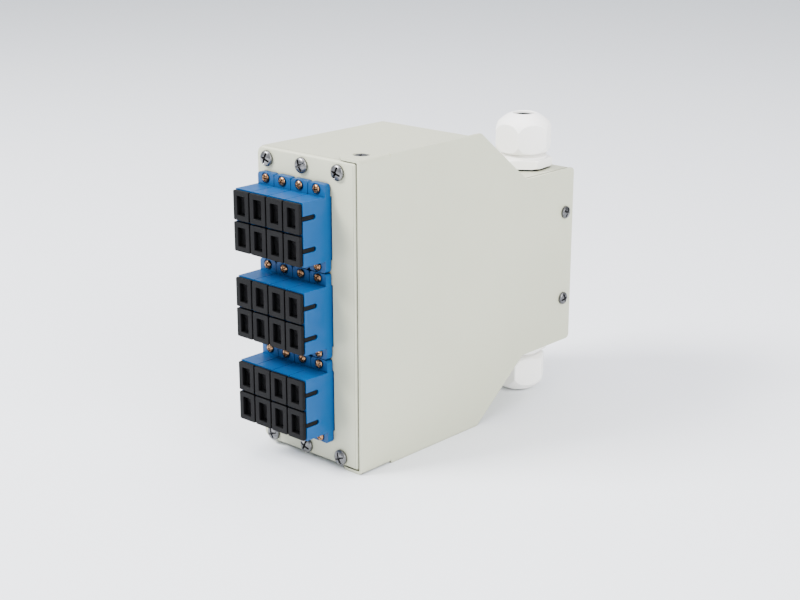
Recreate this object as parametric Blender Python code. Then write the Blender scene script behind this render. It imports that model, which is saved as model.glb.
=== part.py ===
"""DIN-rail fibre termination box: a steel case with twelve duplex adapters on its front panel,
two cable glands on its rear neck, and a rail clip behind.

Metres, +Z up. The front panel faces -Y and the screwed-on side cover faces +X. Points are worked
out from the middle of the case's width, the panel's front face and the lowest edge; the empty
box_frame then carries everything, so that the world origin is under the middle of the whole box.
"""
import math

import bmesh
import bpy
from mathutils import Matrix, Vector

MM = 0.001
GAP = 0.3 * MM

# Case
COVER_OUTER_X = 27.8 * MM
COVER_SHEET = 1.2 * MM
COVER_FRONT_Y = 0.2 * MM
CASE_DEPTH = 134.0 * MM
CASE_HEIGHT = 125.0 * MM
CHAMFER_START_Y = 70.5 * MM
CHAMFER_END_Y = 100.7 * MM
NECK_INSET = 23.7 * MM
EDGE_LIP = 1.5 * MM
REAR_LIP = 0.6 * MM
NECK_LIP = 0.0
SHELL_SHEET = 1.2 * MM
SHELL_LEFT_X = -27.4 * MM
SHELL_RIGHT_X = COVER_OUTER_X - COVER_SHEET - GAP
SHELL_FRONT_Y = 1.8 * MM
SHELL_LIP_HEIGHT = 8.9 * MM
BEND_RADIUS = 2.0 * MM
BOTTOM_Z = EDGE_LIP
TOP_Z = CASE_HEIGHT - EDGE_LIP
MIDDLE_Z = CASE_HEIGHT / 2

# Cover tabs that lap over the top and the bottom wall
TAB_INNER_X = 14.5 * MM
TAB_DEPTH = 17.0 * MM
TAB_CORNER = 6.0 * MM
TAB_SCREW_X = 20.8 * MM
TAB_SCREW_Y = 8.8 * MM
REAR_SCREW_Y = 128.4 * MM
REAR_SCREW_ZS = (43.3 * MM, 82.2 * MM)

# Front panel
PANEL_SHEET = 1.5 * MM
PANEL_EDGE = 1.0 * MM
PANEL_SCREW_XS = (-21.3 * MM, -2.1 * MM, 17.1 * MM)
PANEL_SCREW_ZS = (4.9 * MM, 119.0 * MM)

# Duplex adapters: three groups of four, each group under the next
ADAPTER_PITCH_X = 9.24 * MM
ADAPTER_MIDDLE_X = -5.3 * MM
GROUP_PITCH_Z = 34.75 * MM
GROUP_MIDDLE_Z = 62.2 * MM
ADAPTER_WIDTH = ADAPTER_PITCH_X - GAP
ADAPTER_BODY_HEIGHT = 24.8 * MM
ADAPTER_REAR_HEIGHT = 24.4 * MM
ADAPTER_FRONT_Y = -14.7 * MM
ADAPTER_REAR_Y = 13.0 * MM
FLANGE_HEIGHT = GROUP_PITCH_Z - 0.35 * MM
FLANGE_CORNER = 1.3 * MM
FLANGE_FRONT_Y = -3.1 * MM
PORT_PITCH_Z = 12.4 * MM
PORT_WIDTH = 7.0 * MM
PORT_HEIGHT = 9.2 * MM
PORT_WEB_FRONT_Y = -1.8 * MM
PORT_WEB_REAR_Y = -0.3 * MM
SLEEVE_RADIUS = 1.6 * MM
KEYWAY_HEIGHT = 2.2 * MM
KEYWAY_END_Y = -8.1 * MM

# Dust caps, one for each port
CAP_WIDTH = 8.6 * MM
CAP_HEIGHT = 11.7 * MM
CAP_FRONT_Y = -16.4 * MM
CAP_BACK_Y = ADAPTER_FRONT_Y - GAP
CAP_END_Y = -8.5 * MM
CAP_RECESS_WIDTH = 4.0 * MM
CAP_RECESS_HEIGHT = 7.3 * MM
CAP_RECESS_END_Y = -10.0 * MM
CAP_KEY_HEIGHT = 1.6 * MM
CAP_KEY_X = 4.2 * MM

# Cable glands, 22 mm across flats, heights from the wall's inner face outwards
GLAND_X = 10.5 * MM
GLAND_Y = 120.2 * MM
GLAND_FLATS = 22.0 * MM
GLAND_CORNER = GLAND_FLATS / math.sqrt(3)
GLAND_THREAD_R = 9.3 * MM
GLAND_BORE_R = 6.3 * MM
GLAND_WALL_HOLE_R = GLAND_THREAD_R + GAP
GLAND_INNER_END = -9.0 * MM
GLAND_FLANGE_BOTTOM = SHELL_SHEET + GAP
GLAND_FLANGE_TOP = 5.7 * MM
GLAND_THREAD_TOP = 16.0 * MM
NUT_BOTTOM = 8.0 * MM
NUT_TOP = 24.7 * MM
NUT_HOLE_R = 4.7 * MM
SEAL_R = GLAND_BORE_R - GAP
SEAL_HOLE_R = 4.4 * MM
SEAL_BOTTOM = 10.0 * MM
SEAL_TOP = 21.0 * MM
FLANGE_TURN = math.radians(-23)
NUT_TURN = math.radians(-2)
GLAND_SIDES = 24

# Rail clip for a 35 mm top-hat rail
RAIL_HEIGHT = 35.0 * MM
RAIL_SLOT = 1.7 * MM
BRACKET_WIDTH = 24.0 * MM
BRACKET_BOTTOM_Z = 36.5 * MM
BRACKET_TOP_Z = 88.5 * MM
BRACKET_FRONT_Y = CASE_DEPTH - REAR_LIP + GAP
SEAT_Y = 139.4 * MM
HOOK_REAR_Y = 143.4 * MM
HOOK_OVERLAP = 3.5 * MM
CHANNEL_TOP_Z = 72.0 * MM
CHANNEL_HALF_WIDTH = 7.5 * MM
CHANNEL_FRONT_Y = 134.9 * MM
CHANNEL_REAR_Y = 138.1 * MM
THROAT_HALF_WIDTH = 4.5 * MM
LATCH_BOTTOM_Z = 31.5 * MM
LATCH_TOP_Z = 58.0 * MM
LATCH_HOOK_Z = 39.7 * MM
SPRING_RADIUS = 1.1 * MM
SPRING_WIRE = 0.2 * MM
SPRING_TURNS = 7

# Splice tray on the left wall, open towards the cover
TRAY_BACK_X = SHELL_LEFT_X + SHELL_SHEET + GAP
TRAY_RIM_X = -14.0 * MM
TRAY_SHEET = 1.5 * MM
TRAY_Y = (30.0 * MM, 92.0 * MM)
TRAY_Z = (24.0 * MM, 101.0 * MM)
TRAY_CORNER = 9.0 * MM
TRAY_DRUM_R = 16.0 * MM
TRAY_DRUM_ZS = (45.5 * MM, 79.5 * MM)
TRAY_COMB_RIBS = 7
LID_SHEET = 1.0 * MM

# From the working frame to the middle of the whole box, which reaches from -27.4 to 29.7 mm in X
# and from -16.4 to 143.4 mm in Y
FRAME_OFFSET = Vector((-1.15 * MM, -63.5 * MM, 0.0))


# ---- scene and materials -------------------------------------------------------------------

def clear_scene():
    for item in list(bpy.data.objects):
        bpy.data.objects.remove(item, do_unlink=True)


def make_material(name, colour, roughness, metallic=0.0, alpha=1.0):
    material = bpy.data.materials.new(name)
    material.use_nodes = True
    shader = material.node_tree.nodes["Principled BSDF"]
    shader.inputs["Base Color"].default_value = (*colour, 1.0)
    shader.inputs["Roughness"].default_value = roughness
    shader.inputs["Metallic"].default_value = metallic
    shader.inputs["Alpha"].default_value = alpha
    return material


def add_object(name, mesh, material, parent, location=(0.0, 0.0, 0.0)):
    """Link a mesh as a named object under an empty; a shared mesh keeps its first material."""
    item = bpy.data.objects.new(name, mesh)
    bpy.context.scene.collection.objects.link(item)
    item.parent = parent
    item.location = location
    if not mesh.materials:
        mesh.materials.append(material)
    return item


def add_empty(name, parent=None, location=(0.0, 0.0, 0.0), rotation=(0.0, 0.0, 0.0)):
    item = bpy.data.objects.new(name, None)
    item.empty_display_size = 0.01
    bpy.context.scene.collection.objects.link(item)
    item.parent = parent
    item.location = location
    item.rotation_euler = rotation
    return item


# ---- outlines ------------------------------------------------------------------------------

def rectangle(low_a, high_a, low_b, high_b):
    return [(low_a, low_b), (high_a, low_b), (high_a, high_b), (low_a, high_b)]


def rounded(points, radii, steps=3):
    """Replace each corner of an outline by an arc of its own radius."""
    outline = []
    for index, corner in enumerate(points):
        radius = radii[index] if isinstance(radii, (list, tuple)) else radii
        corner = Vector(corner)
        before = (Vector(points[index - 1]) - corner).normalized()
        after = (Vector(points[(index + 1) % len(points)]) - corner).normalized()
        half = before.angle(after) / 2
        if radius <= 0:
            outline.append(tuple(corner))
            continue
        centre = corner + (before + after).normalized() * (radius / math.sin(half))
        start = corner + before * (radius / math.tan(half)) - centre
        turn = math.pi - 2 * half
        if before.x * after.y - before.y * after.x > 0:
            turn = -turn
        for step in range(steps + 1):
            outline.append(tuple(centre + Matrix.Rotation(turn * step / steps, 2) @ start))
    return outline


def inset_outline(points, distances):
    """Move each edge of a counterclockwise outline inwards by its own distance."""
    lines = []
    for index, start in enumerate(points):
        start = Vector(start)
        along = (Vector(points[(index + 1) % len(points)]) - start).normalized()
        inward = Vector((-along.y, along.x))
        lines.append((start + inward * distances[index], along))
    corners = []
    for index, (point, along) in enumerate(lines):
        other_point, other_along = lines[index - 1]
        cross = along.x * other_along.y - along.y * other_along.x
        offset = other_point - point
        reach = (offset.x * other_along.y - offset.y * other_along.x) / cross
        corners.append(tuple(point + along * reach))
    return corners


def cover_outline():
    """The cover's side view as (y, z): a full-height front, two chamfers and a shorter neck."""
    neck_top = CASE_HEIGHT - NECK_INSET
    return [
        (COVER_FRONT_Y, 0.0),
        (CHAMFER_START_Y, 0.0),
        (CHAMFER_END_Y, NECK_INSET),
        (CASE_DEPTH, NECK_INSET),
        (CASE_DEPTH, neck_top),
        (CHAMFER_END_Y, neck_top),
        (CHAMFER_START_Y, CASE_HEIGHT),
        (COVER_FRONT_Y, CASE_HEIGHT),
    ]


# ---- meshes --------------------------------------------------------------------------------

def to_mesh(bm, name, smooth_angle=None):
    bmesh.ops.recalc_face_normals(bm, faces=bm.faces)
    mesh = bpy.data.meshes.new(name)
    bm.to_mesh(mesh)
    bm.free()
    if smooth_angle is not None:
        mesh.shade_smooth()
        mesh.set_sharp_from_angle(angle=smooth_angle)
    return mesh


def place(axis, a, b, along):
    if axis == "X":
        return Vector((along, a, b))
    if axis == "Y":
        return Vector((a, along, b))
    return Vector((a, b, along))


def prism(outline, axis, low, high):
    """A closed solid: the outline extruded along one axis."""
    bm = bmesh.new()
    floor = bm.faces.new([bm.verts.new(place(axis, a, b, low)) for a, b in outline])
    grown = bmesh.ops.extrude_face_region(bm, geom=[floor])
    moved = [item for item in grown["geom"] if isinstance(item, bmesh.types.BMVert)]
    bmesh.ops.translate(bm, verts=moved, vec=place(axis, 0.0, 0.0, high - low))
    bmesh.ops.recalc_face_normals(bm, faces=bm.faces)
    return bm


def block(x_range, y_range, z_range):
    return prism(rectangle(*x_range, *y_range), "Z", *z_range)


def cylinder(axis, a, b, radius, low, high, sides=12, end_radius=None):
    """A round bar or, with a second radius, a cone along one axis."""
    bm = bmesh.new()
    rings = []
    for along, size in ((low, radius), (high, radius if end_radius is None else end_radius)):
        ring = []
        for index in range(sides):
            angle = 2 * math.pi * (index + 0.5) / sides
            across = a + size * math.cos(angle)
            up = b + size * math.sin(angle)
            ring.append(bm.verts.new(place(axis, across, up, along)))
        rings.append(ring)
    bm.faces.new(rings[0])
    bm.faces.new(rings[1])
    for index in range(sides):
        after = (index + 1) % sides
        bm.faces.new((rings[0][index], rings[0][after], rings[1][after], rings[1][index]))
    bmesh.ops.recalc_face_normals(bm, faces=bm.faces)
    return bm


def turned(profile, sides):
    """Turn a closed (radius, height) profile about Z; a profile touching the axis is solid."""
    bm = bmesh.new()
    rings = []
    for radius, height in profile:
        if radius < 1e-9:
            rings.append([bm.verts.new((0.0, 0.0, height))] * sides)
            continue
        angles = [2 * math.pi * index / sides for index in range(sides)]
        spots = [(radius * math.cos(a), radius * math.sin(a), height) for a in angles]
        rings.append([bm.verts.new(spot) for spot in spots])
    for here, there in zip(rings, rings[1:] + rings[:1]):
        if here[0] is here[1] and there[0] is there[1]:
            continue
        for index in range(sides):
            after = (index + 1) % sides
            corners = [here[index], here[after], there[after], there[index]]
            unique = [corner for position, corner in enumerate(corners) if corner not in corners[:position]]
            bm.faces.new(unique)
    bmesh.ops.recalc_face_normals(bm, faces=bm.faces)
    return bm


def combined(base, steps):
    """Apply Boolean steps, each an (operation, bmesh) pair, to a base bmesh and return a bmesh."""
    body = bpy.data.objects.new("body", to_mesh(base, "body"))
    bpy.context.scene.collection.objects.link(body)
    tools = []
    for operation, shape in steps:
        tool = bpy.data.objects.new("tool", to_mesh(shape, "tool"))
        tool.hide_render = True
        tool.display_type = "WIRE"
        bpy.context.scene.collection.objects.link(tool)
        modifier = body.modifiers.new("boolean", "BOOLEAN")
        modifier.operation = operation
        modifier.object = tool
        modifier.solver = "EXACT"
        tools.append(tool)
    graph = bpy.context.evaluated_depsgraph_get()
    result = bmesh.new()
    result.from_object(body, graph)
    bmesh.ops.remove_doubles(result, verts=result.verts, dist=1e-6)
    bmesh.ops.dissolve_degenerate(result, edges=result.edges, dist=1e-6)
    for item in [body] + tools:
        bpy.data.objects.remove(item, do_unlink=True)
    return result


# ---- the case ------------------------------------------------------------------------------

def shell_mesh():
    """The folded case: left wall, wall all round, screw lips at the front and ears at the rear."""
    edges = [EDGE_LIP] * 8
    edges[2] = NECK_LIP
    edges[3] = REAR_LIP
    edges[4] = NECK_LIP
    edges[7] = SHELL_FRONT_Y - COVER_FRONT_Y
    outer = inset_outline(cover_outline(), edges)
    deeper = [distance + SHELL_SHEET for distance in edges]
    deeper[7] = -10 * MM
    inner = inset_outline(cover_outline(), deeper)
    tight = BEND_RADIUS - SHELL_SHEET
    outer = rounded(outer, [0, BEND_RADIUS, tight, BEND_RADIUS, BEND_RADIUS, tight, BEND_RADIUS, 0])
    inner = rounded(inner, [0, tight, BEND_RADIUS, tight, tight, BEND_RADIUS, tight, 0])
    inside_left = SHELL_LEFT_X + SHELL_SHEET
    steps = [("DIFFERENCE", prism(inner, "X", inside_left, SHELL_RIGHT_X + 5 * MM))]

    lip_y = (SHELL_FRONT_Y, SHELL_FRONT_Y + SHELL_SHEET)
    lip_x = (inside_left - 0.5 * MM, SHELL_RIGHT_X)
    overlap = 0.5 * SHELL_SHEET
    lip_z = (BOTTOM_Z + overlap, BOTTOM_Z + SHELL_SHEET + SHELL_LIP_HEIGHT)
    steps.append(("UNION", block(lip_x, lip_y, lip_z)))
    lip_z = (TOP_Z - SHELL_SHEET - SHELL_LIP_HEIGHT, TOP_Z - overlap)
    steps.append(("UNION", block(lip_x, lip_y, lip_z)))
    for x in PANEL_SCREW_XS:
        for z in PANEL_SCREW_ZS:
            steps.append(("DIFFERENCE", cylinder("Y", x, z, 1.8 * MM, 0.0, 6 * MM)))

    rear_inside = CASE_DEPTH - REAR_LIP - SHELL_SHEET
    for z in REAR_SCREW_ZS:
        ear_x = (SHELL_RIGHT_X - SHELL_SHEET, SHELL_RIGHT_X)
        ear_y = (REAR_SCREW_Y - 4.5 * MM, rear_inside + overlap)
        steps.append(("UNION", block(ear_x, ear_y, (z - 4 * MM, z + 4 * MM))))
        steps.append(("DIFFERENCE", cylinder("X", REAR_SCREW_Y, z, 1.7 * MM, 20 * MM, 30 * MM)))

    for low, high in ((0.0, 5 * MM), (TOP_Z - 5 * MM, CASE_HEIGHT)):
        steps.append(("DIFFERENCE", cylinder("Z", TAB_SCREW_X, TAB_SCREW_Y, 1.7 * MM, low, high)))
    neck_walls = (NECK_INSET + NECK_LIP, CASE_HEIGHT - NECK_INSET - NECK_LIP)
    for z in neck_walls:
        hole = cylinder("Z", GLAND_X, GLAND_Y, GLAND_WALL_HOLE_R, z - 3 * MM, z + 3 * MM, GLAND_SIDES)
        steps.append(("DIFFERENCE", hole))
    return to_mesh(combined(prism(outer, "X", SHELL_LEFT_X, SHELL_RIGHT_X), steps), "body_shell")


def cover_tab(low_z, high_z):
    """A tongue bent from the cover's front corner, with its two free corners rounded."""
    side_x = COVER_OUTER_X - COVER_SHEET / 2
    outline = rectangle(TAB_INNER_X, side_x, COVER_FRONT_Y, COVER_FRONT_Y + TAB_DEPTH)
    return prism(rounded(outline, [TAB_CORNER, 0, 0, TAB_CORNER], 5), "Z", low_z, high_z)


def cover_mesh():
    """The screwed-on side cover with a tab over the top wall and one under the bottom wall."""
    inner_x = COVER_OUTER_X - COVER_SHEET
    corners = [0.8 * MM, 1.5 * MM, 0.8 * MM, 2 * MM, 2 * MM, 0.8 * MM, 1.5 * MM, 0.8 * MM]
    plate = prism(rounded(cover_outline(), corners), "X", inner_x, COVER_OUTER_X)
    rim = [edge for edge in plate.edges if all(vert.co.x > COVER_OUTER_X - 1e-6 for vert in edge.verts)]
    bmesh.ops.bevel(plate, geom=rim, offset=0.5 * MM, segments=2, profile=0.5, affect="EDGES")
    steps = [
        ("UNION", cover_tab(0.0, COVER_SHEET)),
        ("UNION", cover_tab(CASE_HEIGHT - COVER_SHEET, CASE_HEIGHT)),
    ]
    for z in REAR_SCREW_ZS:
        steps.append(("DIFFERENCE", cylinder("X", REAR_SCREW_Y, z, 1.7 * MM, 20 * MM, 35 * MM)))
    bottom_tab_z = (-0.1 * MM, COVER_SHEET + 0.1 * MM)
    top_tab_z = (CASE_HEIGHT + 0.1 * MM, CASE_HEIGHT - COVER_SHEET - 0.1 * MM)
    for outer_z, inner_z in (bottom_tab_z, top_tab_z):
        hole = cylinder("Z", TAB_SCREW_X, TAB_SCREW_Y, 3.2 * MM, outer_z, inner_z, 16, 1.7 * MM)
        steps.append(("DIFFERENCE", hole))
    return to_mesh(combined(plate, steps), "side_cover")


def panel_mesh():
    """The adapter plate: three windows, six screw holes and a rounded front edge."""
    outer = rectangle(SHELL_LEFT_X, SHELL_RIGHT_X, BOTTOM_Z, TOP_Z)
    outline = rounded(outer, [3 * MM, 1 * MM, 1 * MM, 3 * MM])
    plate = prism(outline, "Y", 0.0, PANEL_SHEET)
    rim = [edge for edge in plate.edges if all(vert.co.y < 1e-6 for vert in edge.verts)]
    bmesh.ops.bevel(plate, geom=rim, offset=PANEL_EDGE, segments=2, profile=0.5, affect="EDGES")
    half_width = 1.5 * ADAPTER_PITCH_X + ADAPTER_WIDTH / 2 + GAP
    half_height = ADAPTER_REAR_HEIGHT / 2 + GAP
    steps = []
    for z in group_heights():
        window = block(
            (ADAPTER_MIDDLE_X - half_width, ADAPTER_MIDDLE_X + half_width),
            (-5 * MM, 5 * MM),
            (z - half_height, z + half_height),
        )
        steps.append(("DIFFERENCE", window))
    for x in PANEL_SCREW_XS:
        for z in PANEL_SCREW_ZS:
            steps.append(("DIFFERENCE", cylinder("Y", x, z, 1.9 * MM, -5 * MM, 5 * MM)))
    return to_mesh(combined(plate, steps), "front_panel")


# ---- adapters and dust caps ----------------------------------------------------------------

def group_heights():
    """Middle heights of the three adapter groups, top first."""
    return [GROUP_MIDDLE_Z + step * GROUP_PITCH_Z for step in (1, 0, -1)]


def column_positions():
    return [ADAPTER_MIDDLE_X + step * ADAPTER_PITCH_X for step in (-1.5, -0.5, 0.5, 1.5)]


def adapter_mesh():
    """A duplex adapter about its own centre: body, screw flange, four sockets and two keyways."""
    half = ADAPTER_WIDTH / 2
    body_z = ADAPTER_BODY_HEIGHT / 2
    rear_z = ADAPTER_REAR_HEIGHT / 2
    flange_z = FLANGE_HEIGHT / 2
    flange = rounded(rectangle(-half, half, -flange_z, flange_z), FLANGE_CORNER, 2)
    steps = [
        ("UNION", prism(rectangle(-half, half, -rear_z, rear_z), "Y", -GAP - 0.5 * MM, ADAPTER_REAR_Y)),
        ("UNION", prism(flange, "Y", FLANGE_FRONT_Y, -GAP)),
    ]
    wide = PORT_WIDTH / 2
    high = PORT_HEIGHT / 2
    for middle in (-PORT_PITCH_Z / 2, PORT_PITCH_Z / 2):
        z_range = (middle - high, middle + high)
        front = block((-wide, wide), (ADAPTER_FRONT_Y - MM, PORT_WEB_FRONT_Y), z_range)
        rear = block((-wide, wide), (PORT_WEB_REAR_Y, ADAPTER_REAR_Y + MM), z_range)
        keyway_z = (middle - KEYWAY_HEIGHT / 2, middle + KEYWAY_HEIGHT / 2)
        keyway = block((wide - MM, half + MM), (ADAPTER_FRONT_Y - MM, KEYWAY_END_Y), keyway_z)
        sleeve = cylinder("Y", 0.0, middle, SLEEVE_RADIUS, -3 * MM, 1 * MM, 8)
        steps += [("DIFFERENCE", shape) for shape in (front, rear, keyway, sleeve)]
    body = prism(rectangle(-half, half, -body_z, body_z), "Y", ADAPTER_FRONT_Y, -GAP)
    return to_mesh(combined(body, steps), "duplex_adapter")


def cap_mesh():
    """A dust cap about its port's centre: front plate with a deep recess, plug and key rib."""
    outline = rectangle(-CAP_WIDTH / 2, CAP_WIDTH / 2, -CAP_HEIGHT / 2, CAP_HEIGHT / 2)
    plate = prism(outline, "Y", CAP_FRONT_Y, CAP_BACK_Y)
    plug_x = PORT_WIDTH / 2 - GAP
    plug_z = PORT_HEIGHT / 2 - GAP
    key_z = CAP_KEY_HEIGHT / 2
    hollow_x = CAP_RECESS_WIDTH / 2
    hollow_y = (CAP_FRONT_Y - MM, CAP_RECESS_END_Y)
    hollow_z = CAP_RECESS_HEIGHT / 2
    buried = CAP_BACK_Y - 0.5 * MM
    steps = [
        ("UNION", block((-plug_x, plug_x), (buried, CAP_END_Y), (-plug_z, plug_z))),
        ("UNION", block((plug_x - MM, CAP_KEY_X), (buried, CAP_END_Y), (-key_z, key_z))),
        ("DIFFERENCE", block((-hollow_x, hollow_x), hollow_y, (-hollow_z, hollow_z))),
    ]
    return to_mesh(combined(plate, steps), "dust_cap")


def build_adapters(frame, blue, black):
    """Twelve adapters, numbered row then column, and a cap in each upper and lower port."""
    adapter = adapter_mesh()
    cap = cap_mesh()
    for row, z in enumerate(group_heights(), start=1):
        for column, x in enumerate(column_positions(), start=1):
            add_object(f"adapter_{row}{column}", adapter, blue, frame, (x, 0.0, z))
            for port, side in (("upper", 0.5), ("lower", -0.5)):
                name = f"dust_cap_{row}{column}_{port}"
                add_object(name, cap, black, frame, (x, 0.0, z + side * PORT_PITCH_Z))


# ---- cable glands --------------------------------------------------------------------------

def hexagon(radius, turn):
    angles = [turn + step * math.pi / 3 for step in range(6)]
    return [(radius * math.cos(angle), radius * math.sin(angle)) for angle in angles]


def gland_body_mesh():
    """Threaded body with a hexagonal flange above the wall and a bore right through."""
    edge = 0.6 * MM
    profile = [
        (GLAND_BORE_R, GLAND_INNER_END),
        (GLAND_THREAD_R, GLAND_INNER_END),
        (GLAND_THREAD_R, GLAND_FLANGE_BOTTOM),
        (GLAND_CORNER - edge, GLAND_FLANGE_BOTTOM),
        (GLAND_CORNER, GLAND_FLANGE_BOTTOM + edge),
        (GLAND_CORNER, GLAND_FLANGE_TOP - edge),
        (GLAND_CORNER - edge, GLAND_FLANGE_TOP),
        (GLAND_THREAD_R - 0.6 * MM, GLAND_FLANGE_TOP),
        (GLAND_THREAD_R - 0.6 * MM, GLAND_THREAD_TOP),
        (GLAND_BORE_R, GLAND_THREAD_TOP),
    ]
    flats = prism(hexagon(GLAND_CORNER, FLANGE_TURN), "Z", -20 * MM, 30 * MM)
    body = combined(turned(profile, GLAND_SIDES), [("INTERSECT", flats)])
    return to_mesh(body, "gland_body", math.radians(30))


def gland_nut_mesh():
    """Dome nut: hexagonal skirt, domed top with the cable hole, hollow inside."""
    profile = [
        (GLAND_THREAD_R - GAP, NUT_BOTTOM),
        (GLAND_CORNER - 1.9 * MM, NUT_BOTTOM),
        (GLAND_CORNER, NUT_BOTTOM + 1.8 * MM),
        (GLAND_CORNER, 18.4 * MM),
        (GLAND_CORNER - 0.7 * MM, 20.6 * MM),
        (GLAND_CORNER - 1.8 * MM, 22.6 * MM),
        (GLAND_CORNER - 3.6 * MM, 24.1 * MM),
        (GLAND_CORNER - 5.3 * MM, NUT_TOP),
        (NUT_HOLE_R, NUT_TOP),
        (NUT_HOLE_R, 22.6 * MM),
        (GLAND_BORE_R + 0.4 * MM, 21.4 * MM),
        (GLAND_THREAD_R - GAP, 18.8 * MM),
    ]
    flats = prism(hexagon(GLAND_CORNER, NUT_TURN), "Z", 0.0, 30 * MM)
    nut = combined(turned(profile, GLAND_SIDES), [("INTERSECT", flats)])
    return to_mesh(nut, "gland_nut", math.radians(30))


def gland_seal_mesh():
    """Rubber sleeve that the nut squeezes round the cable."""
    profile = [
        (SEAL_HOLE_R, SEAL_BOTTOM),
        (SEAL_R, SEAL_BOTTOM),
        (SEAL_R, SEAL_TOP - 2 * MM),
        (SEAL_R - 0.6 * MM, SEAL_TOP),
        (SEAL_HOLE_R, SEAL_TOP),
    ]
    return to_mesh(turned(profile, GLAND_SIDES), "gland_seal", math.radians(30))


def build_glands(frame, nylon, rubber):
    """One gland points up from the neck's top wall, one hangs from its bottom wall."""
    body = gland_body_mesh()
    nut = gland_nut_mesh()
    seal = gland_seal_mesh()
    top_wall = CASE_HEIGHT - NECK_INSET - NECK_LIP - SHELL_SHEET
    bottom_wall = NECK_INSET + NECK_LIP + SHELL_SHEET
    for side, z, turn in (("top", top_wall, 0.0), ("bottom", bottom_wall, math.pi)):
        axis = add_empty(f"gland_{side}_axis", frame, (GLAND_X, GLAND_Y, z), (turn, 0.0, 0.0))
        add_object(f"gland_{side}_body", body, nylon, axis)
        add_object(f"gland_{side}_nut", nut, nylon, axis)
        add_object(f"gland_{side}_seal", seal, rubber, axis)


# ---- screws --------------------------------------------------------------------------------

def pan_screw_mesh(name, head_r, head_height, shank_r, length):
    """A pan-head screw along Z: the head's underside is at zero, the shank points down."""
    profile = [
        (0.0, head_height),
        (0.55 * head_r, 0.92 * head_height),
        (0.88 * head_r, 0.62 * head_height),
        (head_r, 0.22 * head_height),
        (head_r, 0.0),
        (shank_r, 0.0),
        (shank_r, -length),
        (0.0, -length),
    ]
    return to_mesh(turned(profile, 14), name, math.radians(40))


def flat_screw_mesh():
    """A countersunk screw along Z: its flat top is at zero."""
    profile = [
        (0.0, 0.0),
        (2.8 * MM, 0.0),
        (1.35 * MM, -1.25 * MM),
        (1.35 * MM, -7 * MM),
        (0.0, -7 * MM),
    ]
    return to_mesh(turned(profile, 14), "flat_screw", math.radians(40))


def build_screws(frame, zinc):
    """Six panel screws, two cover screws at the rear and one in each cover tab."""
    panel_screw = pan_screw_mesh("panel_screw", 3.15 * MM, 1.9 * MM, 1.5 * MM, 6 * MM)
    for z, row in zip(PANEL_SCREW_ZS, ("bottom", "top")):
        for x, column in zip(PANEL_SCREW_XS, ("left", "middle", "right")):
            item = add_object(f"panel_screw_{row}_{column}", panel_screw, zinc, frame, (x, -GAP, z))
            item.rotation_euler = (math.pi / 2, 0.0, 0.0)
    cover_screw = pan_screw_mesh("cover_screw", 2.75 * MM, 1.6 * MM, 1.35 * MM, 6 * MM)
    for z, row in zip(REAR_SCREW_ZS, ("lower", "upper")):
        spot = (COVER_OUTER_X + GAP, REAR_SCREW_Y, z)
        item = add_object(f"cover_screw_rear_{row}", cover_screw, zinc, frame, spot)
        item.rotation_euler = (0.0, math.pi / 2, 0.0)
    flat_screw = flat_screw_mesh()
    sunk = 0.1 * MM
    spot = (TAB_SCREW_X, TAB_SCREW_Y, CASE_HEIGHT - sunk)
    add_object("cover_screw_top", flat_screw, zinc, frame, spot)
    under = add_object("cover_screw_bottom", flat_screw, zinc, frame, (TAB_SCREW_X, TAB_SCREW_Y, sunk))
    under.rotation_euler = (math.pi, 0.0, 0.0)


# ---- rail clip -----------------------------------------------------------------------------

def bracket_mesh():
    """The fixed half: seat, upper hook over the rail's edge and a T-shaped slot for the latch."""
    half = BRACKET_WIDTH / 2
    rail_top = MIDDLE_Z + RAIL_HEIGHT / 2 + GAP
    lip_y = SEAT_Y + RAIL_SLOT
    side = [
        (BRACKET_FRONT_Y, BRACKET_BOTTOM_Z),
        (SEAT_Y, BRACKET_BOTTOM_Z),
        (SEAT_Y, rail_top),
        (lip_y, rail_top),
        (lip_y, rail_top - HOOK_OVERLAP),
        (HOOK_REAR_Y, rail_top - HOOK_OVERLAP),
        (HOOK_REAR_Y, rail_top + 2.5 * MM),
        (SEAT_Y, BRACKET_TOP_Z),
        (BRACKET_FRONT_Y, BRACKET_TOP_Z),
    ]
    below = BRACKET_BOTTOM_Z - MM
    slot_z = (below, CHANNEL_TOP_Z)
    wide_y = (CHANNEL_FRONT_Y, CHANNEL_REAR_Y)
    throat_y = (CHANNEL_REAR_Y - 0.5 * MM, SEAT_Y + MM)
    wide = block((-CHANNEL_HALF_WIDTH, CHANNEL_HALF_WIDTH), wide_y, slot_z)
    throat = block((-THROAT_HALF_WIDTH, THROAT_HALF_WIDTH), throat_y, slot_z)
    steps = [("DIFFERENCE", wide), ("DIFFERENCE", throat)]
    return to_mesh(combined(prism(side, "X", -half, half), steps), "rail_bracket")


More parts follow.
